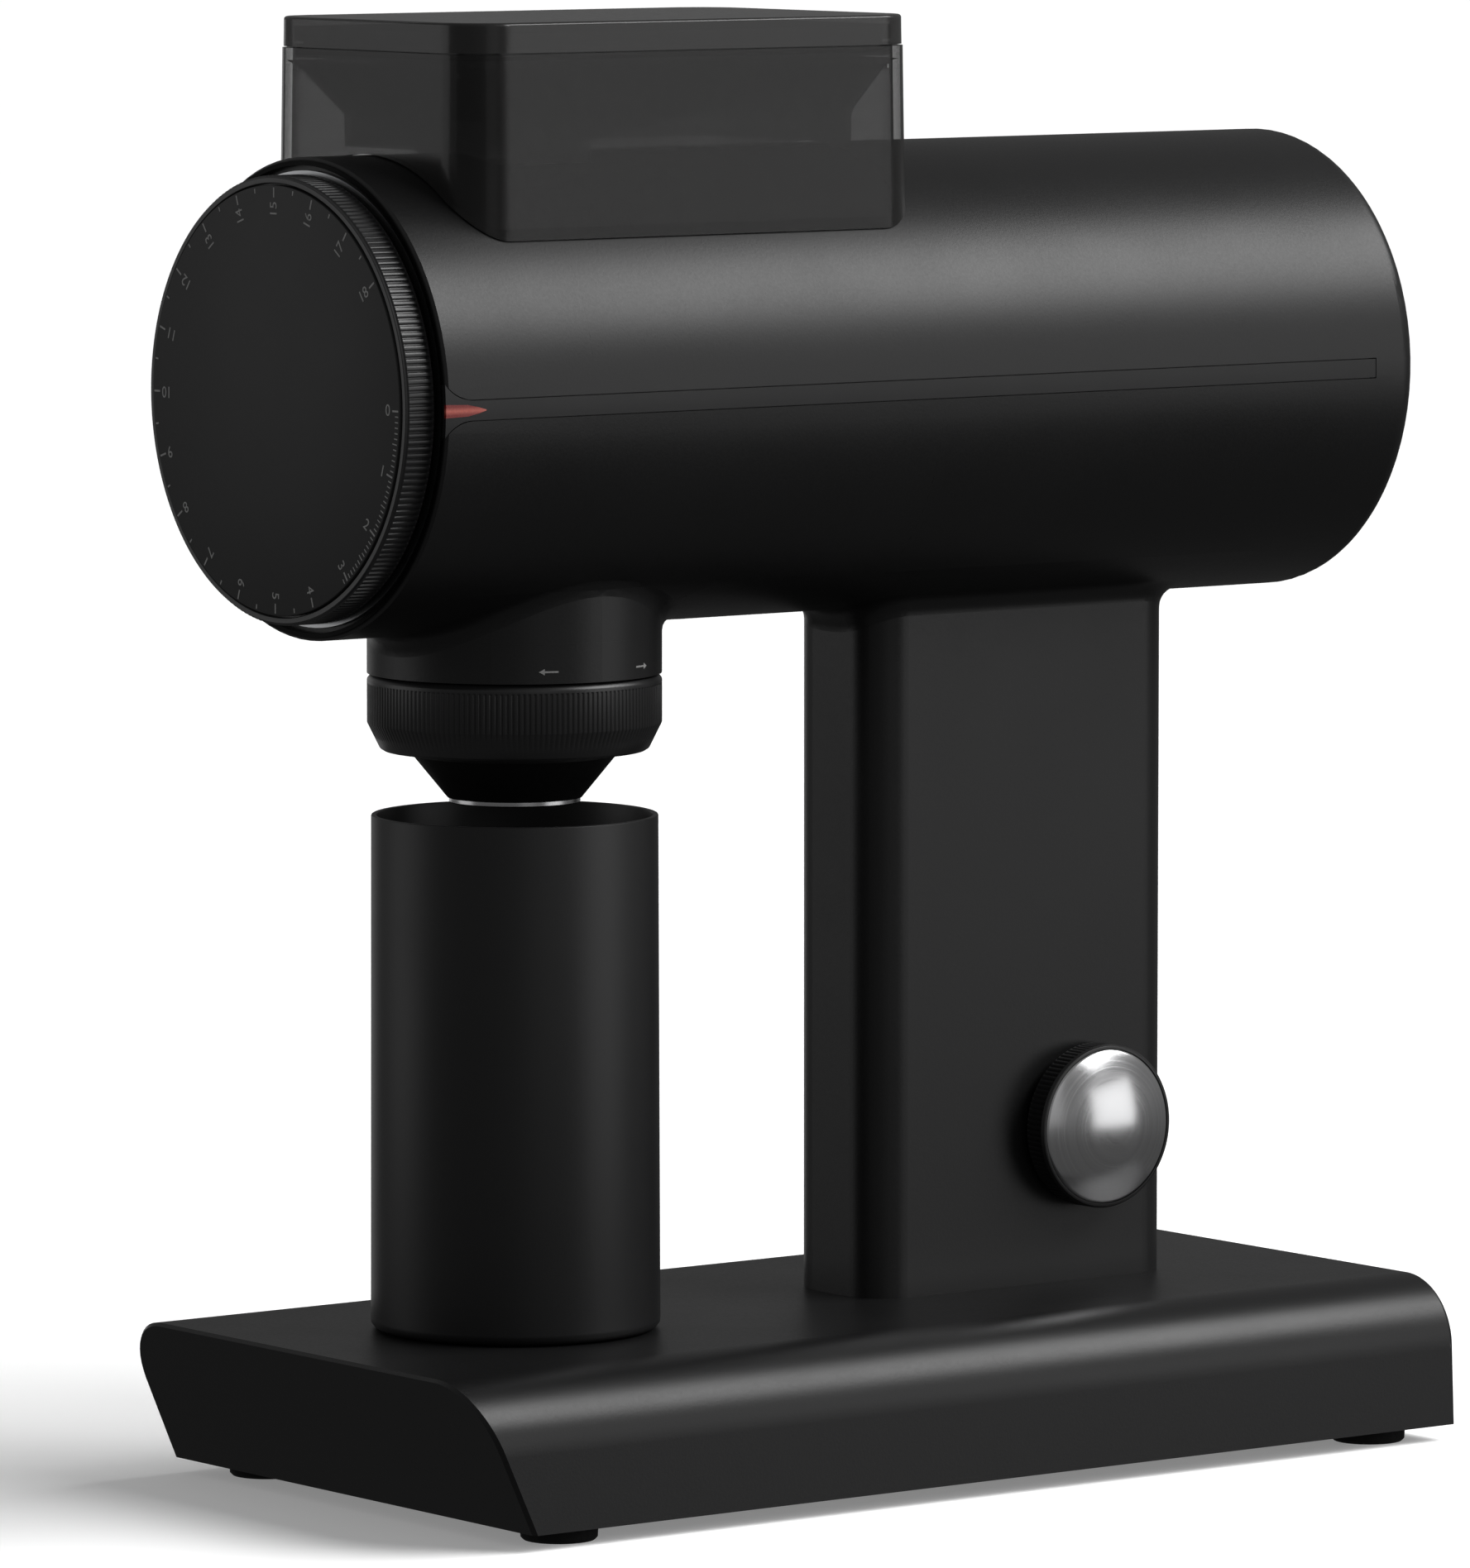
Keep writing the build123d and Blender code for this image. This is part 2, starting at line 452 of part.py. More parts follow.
# ledge that carries the funnel's rim
LEDGE_Z = LID_Z - 3.0
ledge = (hop_block(HOP_WALL - 0.2, LEDGE_Z - 2.6, LEDGE_Z - 1.4) - rrect(
    HOP_HALF - 4.2, HOP_S0 + 4.2, HOP_S1 - 4.2, HOP_R - 4.2, LEDGE_Z - 4, LEDGE_Z + 4))
shell += ledge

FT = 1.6                                    # funnel wall
fz_top, fz_bot, fz_end = LEDGE_Z - 1.35, AXIS_Z + 57.6, AXIS_Z + 52.7


def funnel_loft(off, z_top, z_bot):
    """Four sloping sides from the rim down to the rectangular throat."""
    top = Plane((0, Y(hm), z_top)) * Rectangle(2 * (35.0 + off), (HOP_S1 - HOP_S0) - 12.6 + 2 * off)
    bot = Plane((0, Y((BEAN_S0 + BEAN_S1) / 2), z_bot)) * Rectangle(2 * (BEAN_SLOT_X - 0.4 + off),
                                                                    BEAN_S1 - BEAN_S0 + 2 * off)
    return loft([top, bot])


shell -= funnel_loft(FT + 0.25, fz_top + 1.2, fz_bot)
save("hopper_shell", shell)
rim = rrect(HOP_HALF - HOP_WALL - 1.0, HOP_S0 + HOP_WALL + 1.0, HOP_S1 - HOP_WALL - 1.0, HOP_R - HOP_WALL - 0.8,
            fz_top, fz_top + 1.2)
funnel = funnel_loft(FT, fz_top + 1.2, fz_bot) + rim
funnel += box(-BEAN_SLOT_X + 0.4 - FT, BEAN_SLOT_X - 0.4 + FT, BEAN_S0 - FT, BEAN_S1 + FT, fz_end, fz_bot)
funnel -= funnel_loft(0, fz_top + 1.2, fz_bot)
funnel -= box(-BEAN_SLOT_X + 0.4, BEAN_SLOT_X - 0.4, BEAN_S0, BEAN_S1, fz_end - 1, fz_bot + 0.01)
save("hopper_funnel", funnel)

# skirt under the funnel's rim: four sloping sides, then upright walls down to the drum
SK_T, SK_Z1, SK_Z0 = 1.4, AXIS_Z + 63.2, AXIS_Z + 55.9


def skirt_block(inset, z_top, z_low):
    hi = Plane((0, Y(hm), z_top)) * RectangleRounded(2 * (36.9 - inset), 121.2 - 2 * inset, 7.0 - inset)
    lo = Plane((0, Y(91.4), SK_Z1)) * RectangleRounded(2 * (30.2 - inset), 105.8 - 2 * inset, 5.0 - inset)
    low = Plane((0, Y(91.4), z_low)) * RectangleRounded(2 * (30.2 - inset), 105.8 - 2 * inset, 5.0 - inset)
    return loft([lo, hi]) + extrude(low, SK_Z1 - z_low)


skirt_t = skirt_block(0, fz_top - 0.03, SK_Z0) - skirt_block(SK_T, fz_top - 0.03, SK_Z0 - 1)
skirt_t -= funnel_loft(FT + 0.15, fz_top + 1.2, fz_bot)
skirt_t -= ring_y(0, 300, 0, DRUM_R + 0.6)
save("funnel_skirt", skirt_t)

lid = hop_block(0, LID_Z + 0.15, HOP_TOP_Z)
lid_top = [e for e in lid.edges() if abs(e.center().Z - HOP_TOP_Z) < 0.01]
lid = fillet(lid_top, 0.8)
lid -= hop_block(HOP_WALL, LID_Z - 1, HOP_TOP_Z - 2.4)
lid += hop_block(HOP_WALL + 0.25, LID_Z - 2.4, LID_Z + 0.6) - hop_block(HOP_WALL + 2.1, LID_Z - 4, LID_Z + 4)
lid += hop_block(HOP_WALL - 0.1, LID_Z + 0.5, LID_Z + 1.4) - hop_block(HOP_WALL + 2.1, LID_Z - 4, LID_Z + 4)
lid -= hop_block(0.5, LID_Z - 1.7, LID_Z - 0.7) - hop_block(HOP_WALL + 0.95, LID_Z - 4, LID_Z + 4)
save("hopper_lid", lid)
seal = hop_block(HOP_WALL + 0.15, LID_Z - 1.65, LID_Z - 0.75) - hop_block(HOP_WALL + 0.9, LID_Z - 4, LID_Z + 4)
save("lid_seal", seal)

# ---------------------------------------------------------------------------
# OUTLET: liner in the neck, turning collar, nozzle and rim ring
# ---------------------------------------------------------------------------
liner = rev_z([(27.4, AXIS_Z - 79.2), (29.4, AXIS_Z - 79.2), (29.4, AXIS_Z - 38), (27.4, AXIS_Z - 38)], NECK_S)
liner -= ring_y(20, 120, 0, 52.4)
save("chute_liner", liner)
collar = rev_z([(29.46, AXIS_Z - 65.5), (COLLAR_R - 0.9, AXIS_Z - 65.5), (COLLAR_R, AXIS_Z - 66.6),
                (COLLAR_R, AXIS_Z - 76.6), (31.2, AXIS_Z - 82.4), (30.4, AXIS_Z - 83.0),
                (23.7, AXIS_Z - 83.0), (23.7, AXIS_Z - 80.7), (29.46, AXIS_Z - 80.7)], NECK_S)
save("outlet_collar", collar)
nozzle = rev_z([(27.3, AXIS_Z - 79.5), (29.3, AXIS_Z - 79.5), (29.3, AXIS_Z - 80.6), (23.6, AXIS_Z - 80.6),
                (23.6, AXIS_Z - 84.2), (15.6, AXIS_Z - 94.0), (14.0, AXIS_Z - 94.0), (21.6, AXIS_Z - 83.6)], NECK_S)
save("nozzle", nozzle)
save("outlet_ring", rev_z([(14.0, AXIS_Z - 94.05), (15.2, AXIS_Z - 94.05), (15.2, AXIS_Z - 94.9),
                           (14.9, AXIS_Z - 95.2), (14.0, AXIS_Z - 95.2)], NECK_S))

# ---------------------------------------------------------------------------
# CATCH CUP
# ---------------------------------------------------------------------------
cb = CUP_BOT_Z
cup = rev_z([(0, cb + 3.2), (CUP_R_BOT - CUP_WALL - 1.5, cb + 3.2), (CUP_R_BOT - CUP_WALL, cb + 4.7),
             (CUP_R_TOP - CUP_WALL, CUP_TOP_Z - 0.3), (CUP_R_TOP - CUP_WALL + 0.3, CUP_TOP_Z),
             (CUP_R_TOP - 0.3, CUP_TOP_Z), (CUP_R_TOP, CUP_TOP_Z - 0.3), (CUP_R_BOT, cb),
             (CUP_R_BOT - 1.3, cb - 1.1), (29.0, cb - 1.1), (29.0, cb + 0.4), (0, cb + 0.4)], NECK_S)
save("catch_cup", cup)
save("cup_foot_pad", rev_z([(20.0, cb + 0.4), (28.8, cb + 0.4), (28.8, cb - 1.05), (20.0, cb - 1.05)], NECK_S))

# ---------------------------------------------------------------------------
# BASE
# ---------------------------------------------------------------------------
h = BASE_TOP_Z - BASE_BOT_Z


def base_profile():
    """Cross-section: flat top, large round shoulders, nearly upright sides."""
    r, x0 = BASE_SHOULDER_R, BASE_TOP_HALF
    cz = BASE_TOP_Z - r
    dx, dz = BASE_BOT_HALF - x0, BASE_BOT_Z - cz
    d = sqrt(dx * dx + dz * dz)
    import_a = asin(dx / d)                       # lean of the line to the arc's centre
    th = asin(r / d) - import_a                   # the side's lean from upright
    ex, ez = x0 + r * cos(th), cz + r * sin(th)
    mx, mz = x0 + r * cos((pi / 2 + th) / 2), cz + r * sin((pi / 2 + th) / 2)
    P = lambda x, z: (x, 0, z)
    return Wire([
        Line(P(-x0, BASE_TOP_Z), P(x0, BASE_TOP_Z)),
        ThreePointArc(P(x0, BASE_TOP_Z), P(mx, mz), P(ex, ez)),
        Line(P(ex, ez), P(BASE_BOT_HALF, BASE_BOT_Z)),
        Line(P(BASE_BOT_HALF, BASE_BOT_Z), P(-BASE_BOT_HALF, BASE_BOT_Z)),
        Line(P(-BASE_BOT_HALF, BASE_BOT_Z), P(-ex, ez)),
        ThreePointArc(P(-ex, ez), P(-mx, mz), P(-x0, BASE_TOP_Z))])


bp = make_face(base_profile())
base = Pos(0, Y(-5), 0) * extrude(bp, amount=305, dir=(0, 1, 0))
side = make_face(Polyline((0, Y(BASE_FRONT_TOP), BASE_TOP_Z), (0, Y(BASE_REAR_TOP), BASE_TOP_Z),
                          (0, Y(BASE_REAR_BOT), BASE_BOT_Z), (0, Y(BASE_FRONT_BOT), BASE_BOT_Z), close=True))
base = base & extrude(side, amount=90, both=True, dir=(1, 0, 0))
end_edges = [e for e in base.edges()
             if all(abs((v.Y - Y(BASE_FRONT_TOP)) - (BASE_TOP_Z - v.Z) / h * (BASE_FRONT_BOT - BASE_FRONT_TOP)) < 0.05
                    for v in e.vertices())
             or all(v.Y > Y(BASE_REAR_TOP) - 0.05 for v in e.vertices())]
end_edges = [e for e in end_edges if not all(v.Z < BASE_BOT_Z + 0.1 for v in e.vertices())]
base = fillet([e for e in end_edges if all(v.Y > 0 for v in e.vertices())], 1.2)
front_pick = [e for e in base.edges() if all(v.Y < Y(BASE_FRONT_BOT) + 0.05 for v in e.vertices())
              and not all(v.Z < BASE_BOT_Z + 0.1 for v in e.vertices())
              and all(abs((v.Y - Y(BASE_FRONT_TOP)) - (BASE_TOP_Z - v.Z) / h * (BASE_FRONT_BOT - BASE_FRONT_TOP)) < 0.05
                      for v in e.vertices())]
base = chamfer(front_pick, 0.9)
base -= box(-64, 64, 50, 264, BASE_BOT_Z - 1, BASE_TOP_Z - 7)
base -= box(-46, 46, 26, 286.6, BASE_BOT_Z - 1, BASE_TOP_Z - 7)
for x, s in COL_BOLTS:
    base -= cyl_z(x, s, 3.3, BASE_TOP_Z - 8, BASE_TOP_Z + 1)
base -= cyl_z(0, LOOM_S, 5.0, BASE_TOP_Z - 8, BASE_TOP_Z + 1)
INLET_Z = BASE_BOT_Z + 18.0
base -= box(-15.05, 15.05, 280, 300, INLET_Z - 8.05, INLET_Z + 8.05)
FEET = [(x, s) for x in (-FOOT_X, FOOT_X) for s in (FOOT_S0, FOOT_S1)]
for x, s in FEET:
    base -= cyl_z(x, s, 3.0, BASE_BOT_Z - 1, BASE_BOT_Z + 8)
PLATE_SCREWS = [(x, s) for x in (-42.0, 42.0) for s in (30.0, 282.0)]
for x, s in PLATE_SCREWS:
    base += cyl_z(x, s, 4.2, BASE_BOT_Z + 2.8, BASE_TOP_Z - 6.5)
    base -= cyl_z(x, s, 1.45, BASE_BOT_Z, BASE_BOT_Z + 14)
save("base_shell", base)

save("rubber_feet", group([rev_z([(0, 0), (8.2, 0), (8.8, 0.6), (FOOT_R, BASE_BOT_Z), (2.95, BASE_BOT_Z),
                                  (2.95, BASE_BOT_Z + 6.5), (0, BASE_BOT_Z + 6.5)], s, x) for x, s in FEET]))
plate = box(-63.8, 63.8, 50.2, 263.8, BASE_BOT_Z + 0.6, BASE_BOT_Z + 2.6)
plate += box(-45.8, 45.8, 26.2, 286.4, BASE_BOT_Z + 0.6, BASE_BOT_Z + 2.6)
for x, s in PLATE_SCREWS:
    plate -= cyl_z(x, s, 1.8, BASE_BOT_Z, BASE_BOT_Z + 3)
for i in range(-4, 5):
    plate -= Pos(i * 7.0, Y(210), BASE_BOT_Z) * extrude(Rot(0, 0, 90) * SlotOverall(36, 2.6), 5, both=True)
save("base_plate", plate)
save("base_plate_screws", group([cyl_z(x, s, 1.4, BASE_BOT_Z + 0.2, BASE_BOT_Z + 12)
                                 + cyl_z(x, s, 3.0, BASE_BOT_Z - 0.7, BASE_BOT_Z + 0.58)
                                 - Pos(x, Y(s), BASE_BOT_Z - 0.4) * extrude(RegularPolygon(1.2, 6), 0.8, both=True)
                                 for x, s in PLATE_SCREWS]))
save("column_bolts", group([cyl_z(x, s, 2.95, BASE_TOP_Z - 8, BASE_TOP_Z + 8.4)
                            + cyl_z(x, s, 5.0, BASE_TOP_Z - 12, BASE_TOP_Z - 7.02)
                            - Pos(x, Y(s), BASE_TOP_Z - 12) * extrude(RegularPolygon(2.5, 6), 2.8, both=True)
                            for x, s in COL_BOLTS]))

# power inlet in the rear wall of the base: a flat twin-pin socket
inlet = box(-15.0, 15.0, 266, 292.2, INLET_Z - 8.0, INLET_Z + 8.0)
inlet -= Pos(0, Y(286), INLET_Z) * Rot(90, 0, 0) * extrude(SlotOverall(20.8, 9.6), 9.0, both=True)
inlet += box(-10, 10, 262, 266, INLET_Z - 4, INLET_Z + 4)
for x in (-4.3, 4.3):
    inlet -= cyl_y(x, INLET_Z, 1.22, 260, 280)
save("power_inlet", inlet)
save("inlet_pins", group([cyl_y(x, INLET_Z, 1.2, 258, 287.5) for x in (-4.3, 4.3)]))

# power board on the base plate, with its connector under the column
PB_Z = BASE_BOT_Z + 7.5
pb = box(-30, 30, 140, 258, PB_Z, PB_Z + 1.6)
for x, s in ((-26, 145), (26, 145), (-26, 250), (26, 250)):
    pb += cyl_z(x, s, 3.0, BASE_BOT_Z + 2.62, PB_Z)
pb += box(-24, -2, 150, 180, PB_Z + 1.6, PB_Z + 12.5) + box(2, 20, 152, 170, PB_Z + 1.6, PB_Z + 13)
pb += cyl_z(10, 190, 7.5, PB_Z + 1.6, PB_Z + 14) + cyl_z(-14, 195, 6, PB_Z + 1.6, PB_Z + 14)
pb += box(-5, 5, LOOM_S - 4, LOOM_S + 4, PB_Z + 1.6, PB_Z + 9)
save("power_board", pb)
save("wiring_loom", cyl_z(0, LOOM_S, 2.4, PB_Z + 9.02, AXIS_Z - 42.02))
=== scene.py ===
import math
import bpy
from mathutils import Vector, Matrix


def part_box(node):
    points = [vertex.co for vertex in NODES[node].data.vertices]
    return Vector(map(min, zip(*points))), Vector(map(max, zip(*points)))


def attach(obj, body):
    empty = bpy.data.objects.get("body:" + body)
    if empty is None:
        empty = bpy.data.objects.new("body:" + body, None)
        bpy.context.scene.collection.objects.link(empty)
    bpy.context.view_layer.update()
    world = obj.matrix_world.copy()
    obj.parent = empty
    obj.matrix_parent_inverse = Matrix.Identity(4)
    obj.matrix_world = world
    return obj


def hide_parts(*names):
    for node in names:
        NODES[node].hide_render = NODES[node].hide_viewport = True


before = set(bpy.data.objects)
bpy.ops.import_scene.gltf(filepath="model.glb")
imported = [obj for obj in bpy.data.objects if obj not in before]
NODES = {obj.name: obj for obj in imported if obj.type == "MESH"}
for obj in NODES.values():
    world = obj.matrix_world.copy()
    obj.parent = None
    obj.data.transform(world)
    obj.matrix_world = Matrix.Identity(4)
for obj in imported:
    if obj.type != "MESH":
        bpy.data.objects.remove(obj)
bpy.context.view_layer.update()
sc = bpy.context.scene
sc.view_settings.view_transform = "Standard"
sc.view_settings.look = "None"
sc.view_settings.exposure = 0.0
sc.cycles.transparent_max_bounces = 32
sc.cycles.max_bounces = 12

# ---------------------------------------------------------------- reference places
d_lo, d_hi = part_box("dial")
f_lo, f_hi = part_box("dial_face")
c_lo, c_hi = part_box("outlet_collar")
AXIS_Z = (d_lo.z + d_hi.z) / 2
DIAL_Y = f_lo.y                                   # the dial's front face
NECK_Y = (c_lo.y + c_hi.y) / 2
MM = 0.001


def yy(s):
    return DIAL_Y + s * MM


# ---------------------------------------------------------------- camera
az, el = math.radians(52.889), math.radians(5.547)
fwd = Vector((-math.sin(az) * math.cos(el), math.cos(az) * math.cos(el), -math.sin(el)))
cam_data = bpy.data.cameras.new("camera")
cam = bpy.data.objects.new("camera", cam_data)
sc.collection.objects.link(cam)
cam.location = (2.079737, -1.589450, 0.415094)
cam.rotation_mode = "QUATERNION"
cam.rotation_quaternion = fwd.to_track_quat("-Z", "Y")
cam_data.sensor_width = 36.0
cam_data.lens = 256.573
cam_data.clip_start = 0.05
cam_data.clip_end = 100.0
sc.camera = cam


# ---------------------------------------------------------------- node helpers
def new_mat(name):
    m = bpy.data.materials.new(name)
    m.use_nodes = True
    nt = m.node_tree
    nt.nodes.clear()
    out = nt.nodes.new("ShaderNodeOutputMaterial")
    b = nt.nodes.new("ShaderNodeBsdfPrincipled")
    nt.links.new(b.outputs["BSDF"], out.inputs["Surface"])
    tc = nt.nodes.new("ShaderNodeTexCoord")
    return m, nt, b, tc.outputs["Object"]


def noise(nt, vec, scale, detail=2.0, rough=0.5, stretch=None):
    n = nt.nodes.new("ShaderNodeTexNoise")
    n.inputs["Scale"].default_value = scale
    n.inputs["Detail"].default_value = detail
    n.inputs["Roughness"].default_value = rough
    if stretch:
        mp = nt.nodes.new("ShaderNodeMapping")
        mp.inputs["Scale"].default_value = stretch
        nt.links.new(vec, mp.inputs["Vector"])
        vec = mp.outputs["Vector"]
    nt.links.new(vec, n.inputs["Vector"])
    return n.outputs["Fac"]


def math_node(nt, op, a, b=None, c=None, clamp=False):
    n = nt.nodes.new("ShaderNodeMath")
    n.operation = op
    n.use_clamp = clamp
    for i, v in enumerate((a, b, c)):
        if v is None:
            continue
        if isinstance(v, (int, float)):
            n.inputs[i].default_value = v
        else:
            nt.links.new(v, n.inputs[i])
    return n.outputs[0]


def remap(nt, fac, a0, a1, b0, b1):
    n = nt.nodes.new("ShaderNodeMapRange")
    n.clamp = True
    for k, v in zip(("From Min", "From Max", "To Min", "To Max"), (a0, a1, b0, b1)):
        n.inputs[k].default_value = v
    nt.links.new(fac, n.inputs["Value"])
    return n.outputs["Result"]


def mix_col(nt, fac, c0, c1):
    n = nt.nodes.new("ShaderNodeMix")
    n.data_type = "RGBA"
    if isinstance(fac, (int, float)):
        n.inputs[0].default_value = fac
    else:
        nt.links.new(fac, n.inputs[0])
    for sock, c in ((n.inputs[6], c0), (n.inputs[7], c1)):
        if hasattr(c, "links"):
            nt.links.new(c, sock)
        else:
            sock.default_value = (*c[:3], 1.0)
    return n.outputs[2]


def bump(nt, height, dist, strength=1.0, prev=None):
    n = nt.nodes.new("ShaderNodeBump")
    n.inputs["Distance"].default_value = dist
    n.inputs["Strength"].default_value = strength
    nt.links.new(height, n.inputs["Height"])
    if prev is not None:
        nt.links.new(prev, n.inputs["Normal"])
    return n.outputs["Normal"]


def xyz(nt, vec):
    n = nt.nodes.new("ShaderNodeSeparateXYZ")
    nt.links.new(vec, n.inputs[0])
    return n.outputs


def scale_c(c, k):
    return tuple(max(0.0, min(1.0, v * k)) for v in c[:3])


def powder(name, col, rough=0.46, grain=0.00003, scale=1500.0, var=0.16, spec=0.5, coat=0.0, front=None):
    """Powder coat: very fine orange-peel grain, slight tone and gloss variation; front, if given, adds a painted shade
    ahead of that Y.
    """
    m, nt, b, v = new_mat(name)
    fine = noise(nt, v, scale, 3.0, 0.6)
    soft = noise(nt, v, 22.0, 4.0, 0.55)
    both = math_node(nt, "ADD", math_node(nt, "MULTIPLY", fine, 0.55), math_node(nt, "MULTIPLY", soft, 0.45))
    nt.links.new(mix_col(nt, remap(nt, both, 0.3, 0.7, 0, 1), scale_c(col, 1 - var), scale_c(col, 1 + var)),
                 b.inputs["Base Color"])
    nt.links.new(remap(nt, both, 0.3, 0.7, rough - 0.045, rough + 0.05), b.inputs["Roughness"])
    nt.links.new(bump(nt, fine, grain, 0.6), b.inputs["Normal"])
    b.inputs["Specular IOR Level"].default_value = spec
    if coat:
        b.inputs["Coat Weight"].default_value = coat
        b.inputs["Coat Roughness"].default_value = 0.3
    if front:
        # painted shade: ahead of this Y, the drum's front lip is darkened to a quarter of the coat colour and given low
        # specular, standing in for the shade on its recessed front face
        x, y, z = xyz(nt, v)
        painted_shade_lip = remap(nt, y, front - 0.0002, front + 0.0002, 0.0, 1.0)
        src = b.inputs["Base Color"].links[0].from_socket
        nt.links.new(mix_col(nt, painted_shade_lip, scale_c(col, 0.25), src), b.inputs["Base Color"])
        nt.links.new(remap(nt, painted_shade_lip, 0.0, 1.0, 0.05, spec), b.inputs["Specular IOR Level"])
    return m


def moulded(name, col, rough=0.5, spec=0.45, scale=900.0, grain=0.00002):
    """Moulded plastic or rubber: fine spark-eroded grain and faint flow marks."""
    m, nt, b, v = new_mat(name)
    fine = noise(nt, v, scale, 2.0, 0.5)
    flow = noise(nt, v, 30.0, 3.0, 0.6, (1.0, 1.0, 2.5))
    nt.links.new(mix_col(nt, flow, scale_c(col, 0.85), scale_c(col, 1.18)), b.inputs["Base Color"])
    nt.links.new(remap(nt, fine, 0.3, 0.7, rough - 0.06, rough + 0.06), b.inputs["Roughness"])
    nt.links.new(bump(nt, fine, grain, 0.7), b.inputs["Normal"])
    b.inputs["Specular IOR Level"].default_value = spec
    return m


def turned(name, col, axis="Y", centre=(0.0, 0.0), rough=0.3, metallic=1.0, lines=5200.0, depth=0.000004, var=0.1,
           spec=0.5):
    """Lathe-turned or faced metal: fine concentric tool lines about an axis."""
    m, nt, b, v = new_mat(name)
    x, y, z = xyz(nt, v)
    u, w = {"X": (y, z), "Y": (x, z), "Z": (x, y)}[axis]
    along = {"X": x, "Y": y, "Z": z}[axis]
    du = math_node(nt, "SUBTRACT", u, centre[0])
    dw = math_node(nt, "SUBTRACT", w, centre[1])
    r = math_node(nt, "SQRT", math_node(nt, "ADD", math_node(nt, "MULTIPLY", du, du), math_node(nt, "MULTIPLY", dw, dw)))
    comb = nt.nodes.new("ShaderNodeCombineXYZ")
    nt.links.new(r, comb.inputs[0])
    nt.links.new(along, comb.inputs[1])
    ring = noise(nt, comb.outputs[0], lines, 3.0, 0.7)
    soft = noise(nt, v, 35.0, 3.0, 0.5)
    nt.links.new(mix_col(nt, remap(nt, ring, 0.3, 0.7, 0, 1), scale_c(col, 1 - var), scale_c(col, 1 + var)),
                 b.inputs["Base Color"])
    nt.links.new(remap(nt, math_node(nt, "ADD", math_node(nt, "MULTIPLY", ring, 0.7), math_node(nt, "MULTIPLY", soft, 0.3)),
                       0.3, 0.7, rough - 0.06, rough + 0.07), b.inputs["Roughness"])
    nt.links.new(bump(nt, ring, depth, 0.8), b.inputs["Normal"])
    b.inputs["Metallic"].default_value = metallic
    b.inputs["Specular IOR Level"].default_value = spec
    return m


def brushed(name, col, rough=0.34, stretch=(60.0, 1.0, 60.0), metallic=1.0, scale=60.0):
    """Straight-brushed or ground metal."""
    m, nt, b, v = new_mat(name)
    br = noise(nt, v, scale, 4.0, 0.7, stretch)
    soft = noise(nt, v, 40.0, 3.0, 0.5)
    nt.links.new(mix_col(nt, remap(nt, br, 0.3, 0.7, 0, 1), scale_c(col, 0.86), scale_c(col, 1.12)),
                 b.inputs["Base Color"])
    nt.links.new(remap(nt, math_node(nt, "ADD", math_node(nt, "MULTIPLY", br, 0.6), math_node(nt, "MULTIPLY", soft, 0.4)),
                       0.3, 0.7, rough - 0.07, rough + 0.08), b.inputs["Roughness"])
    nt.links.new(bump(nt, br, 0.000005, 0.7), b.inputs["Normal"])
    b.inputs["Metallic"].default_value = metallic
    return m


def smoke(name, col, alpha=0.5, rough=0.07):
    """Smoky clear plastic: darker where it is seen edge on, with faint moulding flow."""
    m, nt, b, v = new_mat(name)
    flow = noise(nt, v, 14.0, 3.0, 0.5)
    fine = noise(nt, v, 420.0, 2.0, 0.5)
    nt.links.new(mix_col(nt, flow, scale_c(col, 0.85), scale_c(col, 1.2)), b.inputs["Base Color"])
    nt.links.new(remap(nt, fine, 0.3, 0.7, rough - 0.02, rough + 0.03), b.inputs["Roughness"])
    nt.links.new(bump(nt, flow, 0.0004, 0.25), b.inputs["Normal"])
    lw = nt.nodes.new("ShaderNodeLayerWeight")
    lw.inputs["Blend"].default_value = 0.35
    body_a = remap(nt, lw.outputs["Facing"], 0.0, 0.95, alpha, min(1.0, alpha + 0.42))
    edge_a = remap(nt, lw.outputs["Facing"], 0.5, 0.72, 0.0, 1.0)
    nt.links.new(math_node(nt, "ADD", body_a, edge_a, clamp=True), b.inputs["Alpha"])
    b.inputs["IOR"].default_value = 1.49
    return m


# ---------------------------------------------------------------- palette
BLACK = (0.0125, 0.0125, 0.0128)
M = {}
# housing coat, with a painted shade on the drum's front lip ahead of 8.75 mm
M["housing"] = powder("powder_housing", BLACK, 0.38, front=yy(8.75))
M["base"] = powder("powder_base", (0.0125, 0.0125, 0.013), 0.37)
M["cover"] = powder("powder_cover", BLACK, 0.5)
M["strip"] = powder("satin_strip", (0.013, 0.013, 0.0135), 0.40, grain=0.00001)
M["cup"] = powder("anodised_cup", (0.0125, 0.0125, 0.013), 0.42, grain=0.000015, scale=2200.0)
M["plate"] = powder("coated_plate", (0.02, 0.02, 0.02), 0.55)
M["dial"] = turned("anodised_dial", (0.030, 0.030, 0.031), "Y", (0.0, AXIS_Z), 0.34, 0.0, 4200.0, 0.000003, 0.12, 0.62)
M["face"] = powder("anodised_face", (0.0215, 0.0215, 0.022), 0.52, grain=0.00001, scale=2600.0, var=0.1)
M["collar"] = turned("anodised_collar", (0.020, 0.020, 0.0205), "Z", (0.0, NECK_Y), 0.34, 0.0, 4200.0, 0.000003, 0.12, 0.7)
M["nozzle"] = moulded("moulded_nozzle", (0.006, 0.006, 0.006), 0.6, 0.3)
M["liner"] = moulded("moulded_liner", (0.015, 0.015, 0.015), 0.45)
M["plastic"] = moulded("moulded_black", (0.018, 0.018, 0.018), 0.45)
M["rubber"] = moulded("rubber_black", (0.014, 0.014, 0.014), 0.78, 0.3, 700.0, 0.00004)
M["alu"] = turned("turned_aluminium", (0.60, 0.61, 0.62), "Y", (0.0, AXIS_Z), 0.32)
M["alu_z"] = turned("turned_ring", (0.72, 0.72, 0.73), "Z", (0.0, NECK_Y), 0.25)
M["steel"] = brushed("ground_steel", (0.56, 0.57, 0.58), 0.3)
